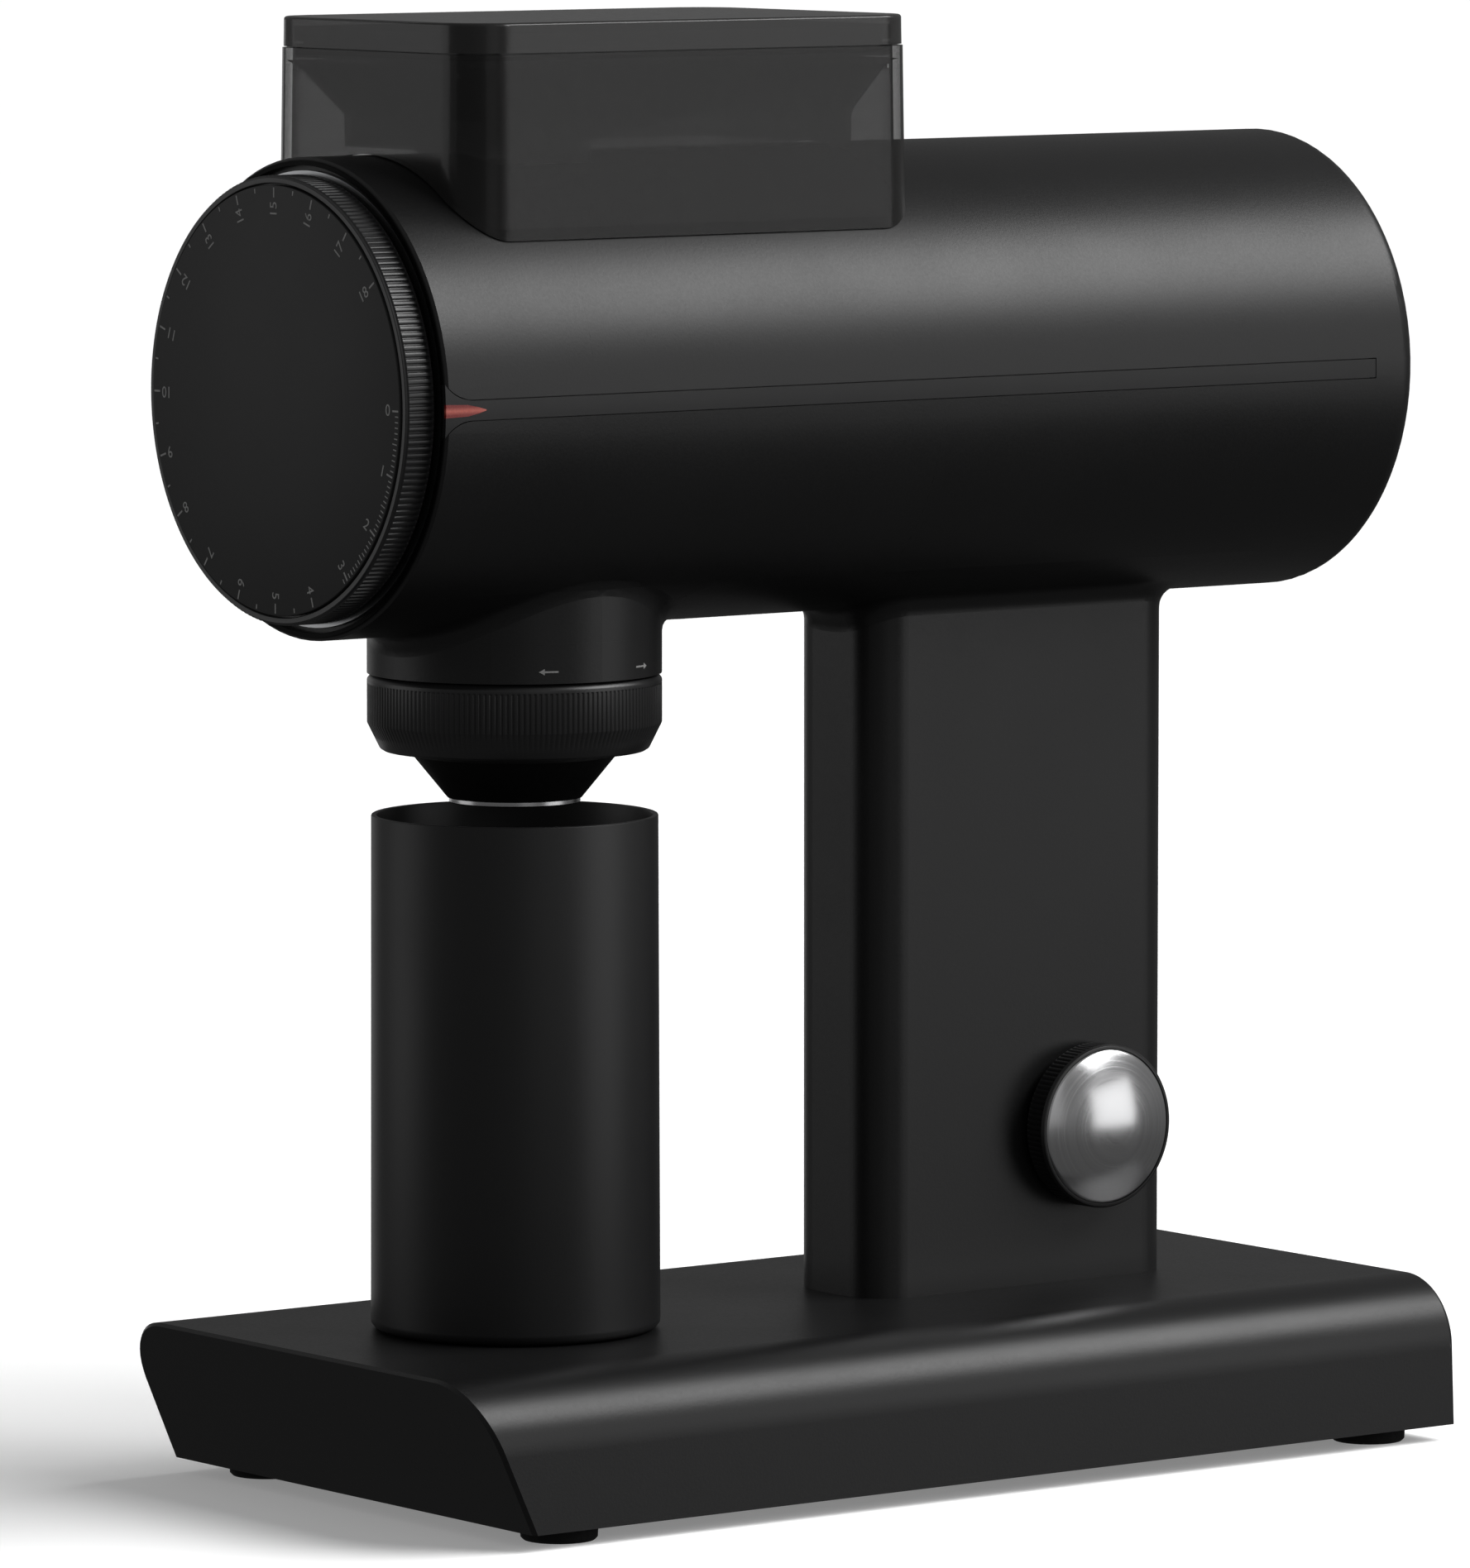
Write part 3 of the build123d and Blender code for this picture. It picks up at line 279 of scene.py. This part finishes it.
M["can"] = brushed("plated_steel", (0.42, 0.43, 0.44), 0.36, (4.0, 60.0, 4.0))
M["zinc"] = brushed("bright_zinc", (0.55, 0.55, 0.56), 0.32, (20.0, 20.0, 20.0), scale=90.0)
M["oxide"] = brushed("black_oxide", (0.035, 0.035, 0.036), 0.4, (20.0, 20.0, 20.0), scale=90.0)
M["brass"] = brushed("brass_pin", (0.72, 0.55, 0.28), 0.28)
M["iron"] = brushed("laminations", (0.14, 0.12, 0.10), 0.5, (2.0, 2200.0, 2.0), 0.6, 1.0)
M["board"] = moulded("circuit_board", (0.02, 0.13, 0.06), 0.4, 0.5, 260.0, 0.00006)
M["smoke"] = smoke("smoky_plastic", (0.036, 0.0355, 0.035), 0.50, 0.18)
M["smoke_in"] = smoke("smoky_funnel", (0.030, 0.0295, 0.029), 0.44, 0.16)
M["smoke_lid"] = smoke("smoky_lid", (0.040, 0.0395, 0.039), 0.86, 0.20)

k_lo, k_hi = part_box("knob_cap")
KY, KZ = (k_lo.y + k_hi.y) / 2, (k_lo.z + k_hi.z) / 2
M["silver"] = turned("spun_aluminium", (0.80, 0.80, 0.81), "X", (KY, KZ), 0.20, 1.0, 2600.0, 0.000004, 0.06)
M["skirt"] = turned("anodised_skirt", (0.016, 0.016, 0.0165), "X", (KY, KZ), 0.34, 0.0, 3000.0, 0.000003, 0.1, 0.6)


def red_insert():
    """Glossy red resin with a painted highlight: brighter along its middle, within a millimetre of the axis height."""
    m, nt, b, v = new_mat("red_resin")
    x, y, z = xyz(nt, v)
    off = math_node(nt, "ABSOLUTE", math_node(nt, "SUBTRACT", z, AXIS_Z))
    mid = remap(nt, off, 0.0001, 0.0009, 1.0, 0.0)
    n = noise(nt, v, 900.0, 2.0)
    # painted highlight: the band nearest the axis height is mixed towards bright red
    painted_highlight = math_node(nt, "MULTIPLY", mid, remap(nt, n, 0.2, 0.8, 0.75, 1.0))
    nt.links.new(mix_col(nt, painted_highlight, (0.32, 0.022, 0.018), (0.86, 0.20, 0.15)), b.inputs["Base Color"])
    nt.links.new(remap(nt, n, 0.3, 0.7, 0.22, 0.34), b.inputs["Roughness"])
    nt.links.new(bump(nt, n, 0.00001, 0.5), b.inputs["Normal"])
    return m


def bronze():
    """Bronze-coloured coated burr steel: ground teeth, warmer in the valleys."""
    m, nt, b, v = new_mat("burr_bronze")
    fine = noise(nt, v, 2400.0, 3.0, 0.6, (1.0, 0.25, 1.0))
    soft = noise(nt, v, 120.0, 3.0, 0.5)
    geo = nt.nodes.new("ShaderNodeNewGeometry")
    worn = remap(nt, geo.outputs["Pointiness"], 0.48, 0.56, 0.0, 1.0)
    base = mix_col(nt, remap(nt, soft, 0.3, 0.7, 0, 1), (0.46, 0.235, 0.105), (0.62, 0.345, 0.17))
    nt.links.new(mix_col(nt, math_node(nt, "MULTIPLY", worn, 0.7), base, (0.86, 0.60, 0.36)), b.inputs["Base Color"])
    nt.links.new(remap(nt, fine, 0.3, 0.7, 0.28, 0.44), b.inputs["Roughness"])
    nt.links.new(bump(nt, fine, 0.000008, 0.7), b.inputs["Normal"])
    b.inputs["Metallic"].default_value = 1.0
    return m


def marks():
    """Pale filled engraving, slightly uneven."""
    m, nt, b, v = new_mat("pale_fill")
    n = noise(nt, v, 1600.0, 2.0)
    nt.links.new(mix_col(nt, n, (0.30, 0.30, 0.30), (0.62, 0.62, 0.61)), b.inputs["Base Color"])
    nt.links.new(remap(nt, n, 0.3, 0.7, 0.45, 0.65), b.inputs["Roughness"])
    nt.links.new(bump(nt, n, 0.00001, 0.4), b.inputs["Normal"])
    return m


M["red"] = red_insert()
M["bronze"] = bronze()
M["marks"] = marks()

NODE_MAT = {
    "main_housing": "housing", "side_strip": "strip", "pointer_insert": "red", "grind_chamber": "alu",
    "shaft_seal": "rubber", "motor_mount": "alu", "front_bearing": "steel", "motor_can": "can",
    "motor_screws": "zinc", "motor_stator": "iron", "rear_bearing": "steel", "motor_driver_board": "board",
    "wiring_loom": "plastic", "rear_cover": "cover", "rear_cover_screws": "oxide", "chute_liner": "liner",
    "knob_bushing": "plastic", "knob_encoder": "board", "base_shell": "base", "base_plate": "plate",
    "base_plate_screws": "oxide", "column_bolts": "zinc", "rubber_feet": "rubber", "power_board": "board",
    "power_inlet": "plastic", "inlet_pins": "brass", "cartridge_sleeve": "alu", "guide_keys": "zinc",
    "dial": "dial", "dial_face": "face", "dial_o_ring": "rubber", "dial_snap_ring": "oxide",
    "burr_carrier": "alu", "feed_ring": "alu", "feed_ring_screws": "zinc", "stationary_burr": "bronze", "stationary_burr_screws": "zinc",
    "drive_shaft": "steel", "motor_rotor": "iron", "cooling_fan": "plastic", "rotating_carrier": "alu",
    "rotating_burr": "bronze", "rotating_burr_screws": "zinc", "auger": "steel", "auger_nut": "zinc",
    "hopper_shell": "smoke", "hopper_funnel": "smoke_in", "funnel_skirt": "smoke_in", "hopper_lid": "smoke_lid", "lid_seal": "rubber",
    "outlet_collar": "collar", "nozzle": "nozzle", "outlet_ring": "alu_z", "catch_cup": "cup",
    "cup_foot_pad": "rubber", "knob_slider": "plastic", "knob_shaft": "steel", "knob_skirt": "skirt",
    "knob_cap": "silver"}
for node, key in NODE_MAT.items():
    if node not in NODES:
        continue
    o = NODES[node]
    o.data.materials.clear()
    o.data.materials.append(M[key])


# ---------------------------------------------------------------- mesh helpers
def add_mesh(name, verts, faces, mat, body, repl=(), sharp=35.0, merge=None):
    me = bpy.data.meshes.new(name)
    me.from_pydata(verts, [], faces)
    me.validate()
    if merge:
        import bmesh
        bm = bmesh.new()
        bm.from_mesh(me)
        bmesh.ops.remove_doubles(bm, verts=bm.verts, dist=merge)
        bmesh.ops.recalc_face_normals(bm, faces=bm.faces)
        bm.to_mesh(me)
        bm.free()
    me.update()
    me.shade_smooth()
    me.set_sharp_from_angle(angle=math.radians(sharp))
    me.materials.append(mat)
    o = bpy.data.objects.new(name, me)
    sc.collection.objects.link(o)
    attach(o, body)
    if repl:
        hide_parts(*repl)
    return o


def lathe(prof, axis, centre, n, mod=None, closed=True):
    """Vertices and faces of a turned piece. prof: (along, radius) in metres; mod(k, i, r) changes a radius."""
    verts, faces = [], []
    m = len(prof)
    for i in range(n):
        t = 2 * math.pi * i / n
        c, s = math.cos(t), math.sin(t)
        for k, (a, r) in enumerate(prof):
            q = mod(k, i, r) if mod else r
            if axis == "Y":
                verts.append((centre[0] + q * c, a, centre[1] + q * s))
            elif axis == "Z":
                verts.append((centre[0] + q * c, centre[1] + q * s, a))
            else:
                verts.append((a, centre[0] + q * c, centre[1] + q * s))
    last = m if closed else m - 1
    for i in range(n):
        j = (i + 1) % n
        for k in range(last):
            l = (k + 1) % m
            faces.append((i * m + k, j * m + k, j * m + l, i * m + l))
    return verts, faces


def turned_piece(name, prof_mm, axis, centre, n, mat, body, repl, mod=None, sharp=35.0, conv=None):
    prof = [(conv(a), r * MM) for a, r in prof_mm]
    v, f = lathe(prof, axis, centre, n, mod)
    return add_mesh(name, v, f, mat, body, repl, sharp, merge=1e-7)


# ---------------------------------------------------------------- grind dial with its straight knurl
RIDGES, PER = 210, 6
SHAPE = (1.0, 0.15, 0.0, 0.0, 0.15, 1.0)
KNURL_DEPTH = 0.42 * MM
dial_prof = [(1.95, 0.0), (1.95, 49.25), (0.7, 49.25), (0.5, 49.45), (0.5, 50.45), (0.62, 50.62), (1.0, 50.72),
             (1.25, 51.09), (1.35, 51.09), (4.5, 51.09), (7.75, 51.09), (7.9, 51.09), (8.15, 50.72), (8.3, 50.6),
             (8.3, 44.0), (14.0, 44.0), (14.0, 42.1), (16.2, 42.1), (16.2, 44.0), (24.8, 44.0), (24.8, 42.8),
             (26.3, 42.8), (26.3, 44.0), (27.0, 44.0), (27.2, 43.8), (27.2, 40.3), (26.9, 40.01), (6.0, 40.01),
             (6.0, 0.0)]
KN = {7: 0.15, 8: 1.0, 9: 1.0, 10: 1.0, 11: 0.15}


def dial_mod(k, i, r):
    return r - KNURL_DEPTH * KN.get(k, 0.0) * SHAPE[i % PER]


turned_piece("dial_knurled", dial_prof, "Y", (0.0, AXIS_Z), RIDGES * PER, M["dial"], "grind_dial",
             ("dial",), dial_mod, 28.0, yy)
turned_piece("dial_plate", [(0.06, 0.0), (0.06, 48.62), (0.14, 48.82), (0.34, 48.9), (1.9, 48.9), (1.9, 0.0)], "Y",
             (0.0, AXIS_Z), 256, M["face"], "grind_dial", ("dial_face",), None, 30.0, yy)

# scale marks: main ticks every 18 degrees clockwise from the pointer side, a fine scale over the first three
mv, mf = [], []


def add_prism(poly, y0, y1):
    n0 = len(mv)
    for y in (y0, y1):
        for x, z in poly:
            mv.append((x, y, z))
    n = len(poly)
    mf.append(tuple(n0 + i for i in range(n)))
    mf.append(tuple(n0 + n + i for i in reversed(range(n))))
    for i in range(n):
        j = (i + 1) % n
        mf.append((n0 + i, n0 + n + i, n0 + n + j, n0 + j))


MARK0, MARK1 = yy(0.02), yy(0.12)


def tick(deg, r0, r1, w):
    a = math.radians(-deg)                         # clockwise as seen from the front
    c, s = math.cos(a), math.sin(a)
    pts = []
    for r, t in ((r0, -w / 2), (r1, -w / 2), (r1, w / 2), (r0, w / 2)):
        pts.append(((r * c - t * s) * MM, AXIS_Z + (r * s + t * c) * MM))
    add_prism(pts, MARK0, MARK1)


for i in range(19):
    tick(18 * i, 46.1, 48.35, 0.42)
for i in range(4, 18):
    tick(18 * i + 9, 47.3, 48.35, 0.36)
for i in range(0, 38):
    if i % 12:
        tick(1.5 * i, 47.2 if i % 6 else 46.7, 48.35, 0.26)
add_mesh("dial_ticks", mv, mf, M["marks"], "grind_dial", (), 30.0)

gv, gf = [], []
for i in range(19):
    cu = bpy.data.curves.new("num", "FONT")
    cu.body = str(i)
    cu.size = 3.8 * MM
    cu.extrude = 0.05 * MM
    cu.resolution_u = 3
    cu.align_x = "RIGHT"
    cu.align_y = "CENTER"
    tmp = bpy.data.objects.new("num", cu)
    sc.collection.objects.link(tmp)
    bpy.context.view_layer.update()
    me = bpy.data.meshes.new_from_object(tmp.evaluated_get(bpy.context.evaluated_depsgraph_get()))
    a = math.radians(-18 * i)
    c, s = math.cos(a), math.sin(a)
    n0 = len(gv)
    for vtx in me.vertices:
        u, w, d = vtx.co.x + 45.3 * MM, vtx.co.y, vtx.co.z
        gv.append((u * c - w * s, yy(0.07) - d, AXIS_Z + u * s + w * c))
    for p in me.polygons:
        gf.append(tuple(n0 + q for q in p.vertices))
    bpy.data.objects.remove(tmp)
    bpy.data.curves.remove(cu)
    bpy.data.meshes.remove(me)
add_mesh("dial_numbers", gv, gf, M["marks"], "grind_dial", (), 30.0, merge=1e-9)

# ---------------------------------------------------------------- outlet collar with its fine knurl
zc = lambda a: AXIS_Z + a * MM
collar_prof = [(-65.5, 29.5), (-65.5, 33.15), (-65.7, 33.4), (-66.45, 34.0), (-66.8, 34.07), (-67.3, 34.07),
               (-67.6, 34.07), (-76.5, 34.07), (-76.75, 33.98), (-79.4, 32.68), (-80.2, 32.28), (-82.3, 31.25), (-82.6, 31.0),
               (-82.7, 30.6), (-83.0, 30.35), (-83.0, 23.75), (-80.75, 23.75), (-80.75, 29.5)]
KC = {6: 1.0, 7: 1.0, 8: 1.0, 9: 0.75}


def collar_mod(k, i, r):
    return r - 0.24 * MM * KC.get(k, 0.0) * SHAPE[i % PER]


turned_piece("collar_knurled", collar_prof, "Z", (0.0, NECK_Y), 168 * PER, M["collar"], "outlet",
             ("outlet_collar",), collar_mod, 28.0, zc)

# ---------------------------------------------------------------- the two turning arrows on the neck
n_r = (34.07 + 0.02) * MM
av, af = [], []


def wrap(u, w, r):
    """u: distance round the neck from +X, w: height."""
    t = u / n_r
    return (r * math.cos(t), NECK_Y + r * math.sin(t), w)


def arrow(mid_deg, sgn):
    mid = math.radians(mid_deg) * n_r
    zz = AXIS_Z - 62.35 * MM
    half, shaft, head, hh = 2.3 * MM, 0.20 * MM, 1.35 * MM, 0.72 * MM
    strips = []
    n = 8
    # shaft, from tail to the head's base, then the head narrowing to its tip
    for i in range(n + 1):
        u = -half + (2 * half - head) * i / n
        strips.append((u, shaft))
    strips.append((half - head + 0.00001, hh))
    for i in range(1, 5):
        f = i / 4
        strips.append((half - head + head * f, max(hh * (1 - f), 0.00003)))
    n0 = len(av)
    for u, h2 in strips:
        uu = mid + sgn * u
        for r in (n_r - 0.0001, n_r + 0.00002):
            av.append(wrap(uu, zz - h2, r))
            av.append(wrap(uu, zz + h2, r))
    m = len(strips)
    q = lambda i, j: n0 + 4 * i + j          # 0 low in, 1 high in, 2 low out, 3 high out
    for i in range(m - 1):
        af.append((q(i, 2), q(i + 1, 2), q(i + 1, 3), q(i, 3)))
        af.append((q(i, 1), q(i + 1, 1), q(i + 1, 0), q(i, 0)))
        af.append((q(i, 0), q(i + 1, 0), q(i + 1, 2), q(i, 2)))
        af.append((q(i, 3), q(i + 1, 3), q(i + 1, 1), q(i, 1)))
    af.append((q(0, 0), q(0, 2), q(0, 3), q(0, 1)))
    af.append((q(m - 1, 1), q(m - 1, 3), q(m - 1, 2), q(m - 1, 0)))


arrow(-22.7, -1)
arrow(22.7, 1)
add_mesh("neck_arrows", av, af, M["marks"], "main_frame", (), 30.0, merge=1e-9)


# ---------------------------------------------------------------- flat burrs with their teeth
def burr_mesh(name, node, body, sgn, turn):
    lo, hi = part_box(node)
    back = lo.y if sgn > 0 else hi.y               # back face; the grinding face looks towards sgn
    n_t, fine_n, pre_n = 1080, 72, 12
    radii = [19.0, 19.25] + [19.25 + (38.0 - 19.25) * i / 44 for i in range(1, 45)] + [38.3, 38.7, 39.0]

    def base(r):
        if r <= 30.5:
            return 5.2 + (9.0 - 5.2) * (r - 19.0) / 11.5
        if r <= 38.0:
            return 9.0
        return 9.0 - 1.4 * (r - 38.0)

    def saw(x, ramp):
        x = x % 1.0
        return 1 - x / ramp if x < ramp else (x - ramp) / (1 - ramp)

    def depth(r, t):
        d = base(r)
        th = t / (2 * math.pi)
        # fine teeth at the rim, cut obliquely, running out towards the middle
        k = max(0.0, min(1.0, (r - 26.0) / 9.0))
        if k > 0:
            g = saw(fine_n * (th + turn * 0.0042 * (38.0 - r)), 0.22)
            d -= 0.85 * k * (1 - g) * (1.0 if r < 38.3 else 0.8)
        # large pre-breaker cuts in the mouth
        k2 = max(0.0, min(1.0, (33.5 - r) / 8.0))
        if k2 > 0:
            x = (pre_n * (th + turn * 0.0030 * (38.0 - r))) % 1.0
            if x < 0.42:
                d -= 1.5 * k2 * (1 - x / 0.42)
        for hx in (24.3, -24.3):
            dx, dz = r * math.cos(t) - hx, r * math.sin(t)
            if dx * dx + dz * dz < 4.45 ** 2:
                d = min(d, 3.4)
        return d

    verts, faces = [], []
    m = len(radii)
    for i in range(n_t):
        t = 2 * math.pi * i / n_t
        c, s = math.cos(t), math.sin(t)
        for r in radii:
            verts.append((r * c * MM, back + sgn * depth(r, t) * MM, AXIS_Z + r * s * MM))
        verts.append((39.0 * c * MM, back, AXIS_Z + 39.0 * s * MM))
        verts.append((19.0 * c * MM, back, AXIS_Z + 19.0 * s * MM))
    w = m + 2
    for i in range(n_t):
        j = (i + 1) % n_t
        for k in range(w):
            l = (k + 1) % w
            faces.append((i * w + k, j * w + k, j * w + l, i * w + l))
    return add_mesh(name, verts, faces, M["bronze"], body, (node,), 32.0, merge=1e-8)


burr_mesh("stationary_burr_cut", "stationary_burr", "burr_carriage", 1, 1.0)
burr_mesh("rotating_burr_cut", "rotating_burr", "rotor", -1, -1.0)

# ---------------------------------------------------------------- feed auger with a helical flight
a_lo, a_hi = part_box("auger")
hub_v, hub_f = lathe([(a_lo.y, 5.05 * MM), (a_lo.y, 7.9 * MM), (a_lo.y + 0.0006, 8.5 * MM), (a_hi.y - 0.0004, 8.6 * MM),
                      (a_hi.y, 8.4 * MM), (a_hi.y, 5.05 * MM)], "Y", (0.0, AXIS_Z), 96)
turns, n_h = 1.7, 170
y_a, y_b = a_lo.y + 2.6 * MM, a_lo.y + 27.0 * MM
n0 = len(hub_v)
sect = [(7.5, -1.5), (16.6, -0.55), (17.0, -0.2), (17.0, 0.2), (16.6, 0.55), (7.5, 1.5)]
for i in range(n_h + 1):
    f = i / n_h
    t = 2 * math.pi * turns * f
    y = y_a + (y_b - y_a) * f
    grow = min(1.0, 0.25 + 6.0 * f, 0.25 + 6.0 * (1 - f))
    for r, dy in sect:
        q = (7.5 + (r - 7.5) * grow) * MM
        hub_v.append((q * math.cos(t), y + dy * MM, AXIS_Z + q * math.sin(t)))
k = len(sect)
for i in range(n_h):
    for p in range(k):
        l = (p + 1) % k
        hub_f.append((n0 + i * k + p, n0 + (i + 1) * k + p, n0 + (i + 1) * k + l, n0 + i * k + l))
hub_f.append(tuple(n0 + p for p in range(k)))
hub_f.append(tuple(n0 + n_h * k + p for p in reversed(range(k))))
add_mesh("auger_flight", hub_v, hub_f, M["steel"], "rotor", ("auger",), 35.0, merge=1e-7)

# ---------------------------------------------------------------- catch cup and speed knob
u_lo, u_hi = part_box("catch_cup")
cb = u_lo.z + 1.1 * MM
ct = u_hi.z
cup_prof = [(cb + 3.2 * MM, 0.0), (cb + 3.2 * MM, 30.4 * MM), (cb + 3.5 * MM, 31.5 * MM), (cb + 4.7 * MM, 32.25 * MM),
            (ct - 0.35 * MM, 31.9 * MM), (ct - 0.12 * MM, 31.98 * MM), (ct, 32.25 * MM), (ct, 32.9 * MM),
            (ct - 0.1 * MM, 33.1 * MM), (ct - 0.35 * MM, 33.2 * MM), (cb + 1.2 * MM, 33.59 * MM), (cb + 0.1 * MM, 33.5 * MM),
            (cb - 0.75 * MM, 32.8 * MM), (cb - 1.1 * MM, 32.2 * MM), (cb - 1.1 * MM, 29.0 * MM), (cb + 0.4 * MM, 29.0 * MM),
            (cb + 0.4 * MM, 0.0)]
v, f = lathe(cup_prof, "Z", (0.0, NECK_Y), 256)
add_mesh("cup_turned", v, f, M["cup"], "cup", ("catch_cup",), 40.0, merge=1e-7)

cap_r, x0, x1 = (k_hi.z - k_lo.z) / 2, k_lo.x, k_hi.x
dome = (x1 - x0 - 0.0012)
R = (cap_r ** 2 + dome ** 2) / (2 * dome)
prof = [(x0, 0.0), (x0, cap_r - 0.0001), (x0 + 0.0002, cap_r)]
prof += [(x0 + 0.0010, cap_r), (x0 + 0.0012, cap_r - 0.00008)]
for i in range(1, 26):
    q = math.asin(cap_r / R) * (1 - i / 25)
    prof.append((x1 - R + R * math.cos(q), R * math.sin(q)))
v, f = lathe(prof, "X", (KY, KZ), 192)
add_mesh("knob_dome", v, f, M["silver"], "speed_knob", ("knob_cap",), 40.0, merge=1e-7)
s_lo, s_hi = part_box("knob_skirt")
sk_r = (s_hi.z - s_lo.z) / 2
sx0, sx1 = s_lo.x, s_hi.x
skirt_prof = [(sx0, 3.05 * MM), (sx0, sk_r - 0.0012), (sx0 + 0.0004, sk_r - 0.0003), (sx0 + 0.0007, sk_r),
              (sx0 + 0.0010, sk_r), (sx1 - 0.0010, sk_r), (sx1 - 0.0007, sk_r), (sx1 - 0.0001, sk_r - 0.0004),
              (sx1, sk_r - 0.0006), (sx1, sk_r - 0.00108), (sx1 - 0.0012, sk_r - 0.00112), (sx1 - 0.0012, 3.05 * MM)]
KS = {4: 1.0, 5: 1.0}
v, f = lathe(skirt_prof, "X", (KY, KZ), 96 * PER, lambda k, i, r: r - 0.00022 * KS.get(k, 0.0) * SHAPE[i % PER])
add_mesh("knob_grip", v, f, M["skirt"], "speed_knob", ("knob_skirt",), 28.0, merge=1e-7)

# ---------------------------------------------------------------- floor, world and lights
fm = bpy.data.materials.new("studio_floor")
fm.use_nodes = True
nt = fm.node_tree
nt.nodes.clear()
out = nt.nodes.new("ShaderNodeOutputMaterial")
dif = nt.nodes.new("ShaderNodeBsdfDiffuse")
emi = nt.nodes.new("ShaderNodeEmission")
add = nt.nodes.new("ShaderNodeAddShader")
dif.inputs["Color"].default_value = (0.86, 0.86, 0.86, 1)
emi.inputs["Color"].default_value = (1, 1, 1, 1)
emi.inputs["Strength"].default_value = 0.22
nt.links.new(dif.outputs[0], add.inputs[0])
nt.links.new(emi.outputs[0], add.inputs[1])
nt.links.new(add.outputs[0], out.inputs["Surface"])
fme = bpy.data.meshes.new("floor")
fme.from_pydata([(-12, -12, 0), (12, -12, 0), (12, 12, 0), (-12, 12, 0)], [], [(0, 1, 2, 3)])
fme.materials.append(fm)
floor = bpy.data.objects.new("floor", fme)
sc.collection.objects.link(floor)
floor.visible_glossy = False
floor.visible_diffuse = False

world = bpy.data.worlds.new("studio")
world.use_nodes = True
wt = world.node_tree
wt.nodes.clear()
wo = wt.nodes.new("ShaderNodeOutputWorld")
bg_cam = wt.nodes.new("ShaderNodeBackground")
bg_env = wt.nodes.new("ShaderNodeBackground")
lp = wt.nodes.new("ShaderNodeLightPath")
mixw = wt.nodes.new("ShaderNodeMixShader")
bg_cam.inputs["Color"].default_value = (1, 1, 1, 1)
bg_cam.inputs["Strength"].default_value = 1.0
bg_env.inputs["Color"].default_value = (1, 1, 1, 1)
wtc = wt.nodes.new("ShaderNodeTexCoord")
wsep = wt.nodes.new("ShaderNodeSeparateXYZ")
wmr = wt.nodes.new("ShaderNodeMapRange")
wmr.inputs["From Min"].default_value = -0.25
wmr.inputs["From Max"].default_value = 0.10
wmr.inputs["To Min"].default_value = 0.07
wmr.inputs["To Max"].default_value = 0.15
wt.links.new(wtc.outputs["Generated"], wsep.inputs[0])
wt.links.new(wsep.outputs[2], wmr.inputs["Value"])
wt.links.new(wmr.outputs["Result"], bg_env.inputs["Strength"])
wt.links.new(lp.outputs["Is Camera Ray"], mixw.inputs[0])
wt.links.new(bg_env.outputs[0], mixw.inputs[1])
wt.links.new(bg_cam.outputs[0], mixw.inputs[2])
wt.links.new(mixw.outputs[0], wo.inputs["Surface"])
sc.world = world

AIM = Vector((0, 0, 0.17))


def softbox(name, direction, dist, w, h, radiance):
    d = Vector(direction).normalized()
    ld = bpy.data.lights.new(name, "AREA")
    ld.shape = "RECTANGLE"
    ld.size, ld.size_y = w, h
    ld.energy = radiance * math.pi * w * h
    o = bpy.data.objects.new(name, ld)
    sc.collection.objects.link(o)
    o.location = AIM + d * dist
    o.rotation_mode = "QUATERNION"
    o.rotation_quaternion = (-d).to_track_quat("-Z", "Y")
    o.visible_camera = False
    return o


softbox("key", (0.48, 0.59, 0.64), 1.9, 1.5, 0.75, 5.6)
softbox("side_card", (0.80, 0.60, 0.06), 2.4, 1.5, 1.0, 1.00)
softbox("front_fill", (-0.66, -0.74, 0.12), 2.0, 1.2, 1.2, 0.52)
softbox("edge_card", (-0.94, 0.20, -0.06), 2.2, 0.7, 1.0, 0.45)
softbox("side_fill", (0.95, -0.25, 0.25), 2.2, 1.0, 1.6, 0.18)

# the floor has its own soft sun, so that it stays plain and pale round a black object
floor_set = bpy.data.collections.new("floor_only")
sc.collection.children.link(floor_set)
floor_set.objects.link(floor)
sd = bpy.data.lights.new("floor_sun", "SUN")
sd.energy = 3.8
sd.angle = math.radians(62)
sun = bpy.data.objects.new("floor_sun", sd)
sc.collection.objects.link(sun)
sun_dir = Vector((0.50, 0.68, 0.72)).normalized()
sun.rotation_mode = "QUATERNION"
sun.rotation_quaternion = (-sun_dir).to_track_quat("-Z", "Y")
sun.light_linking.receiver_collection = floor_set
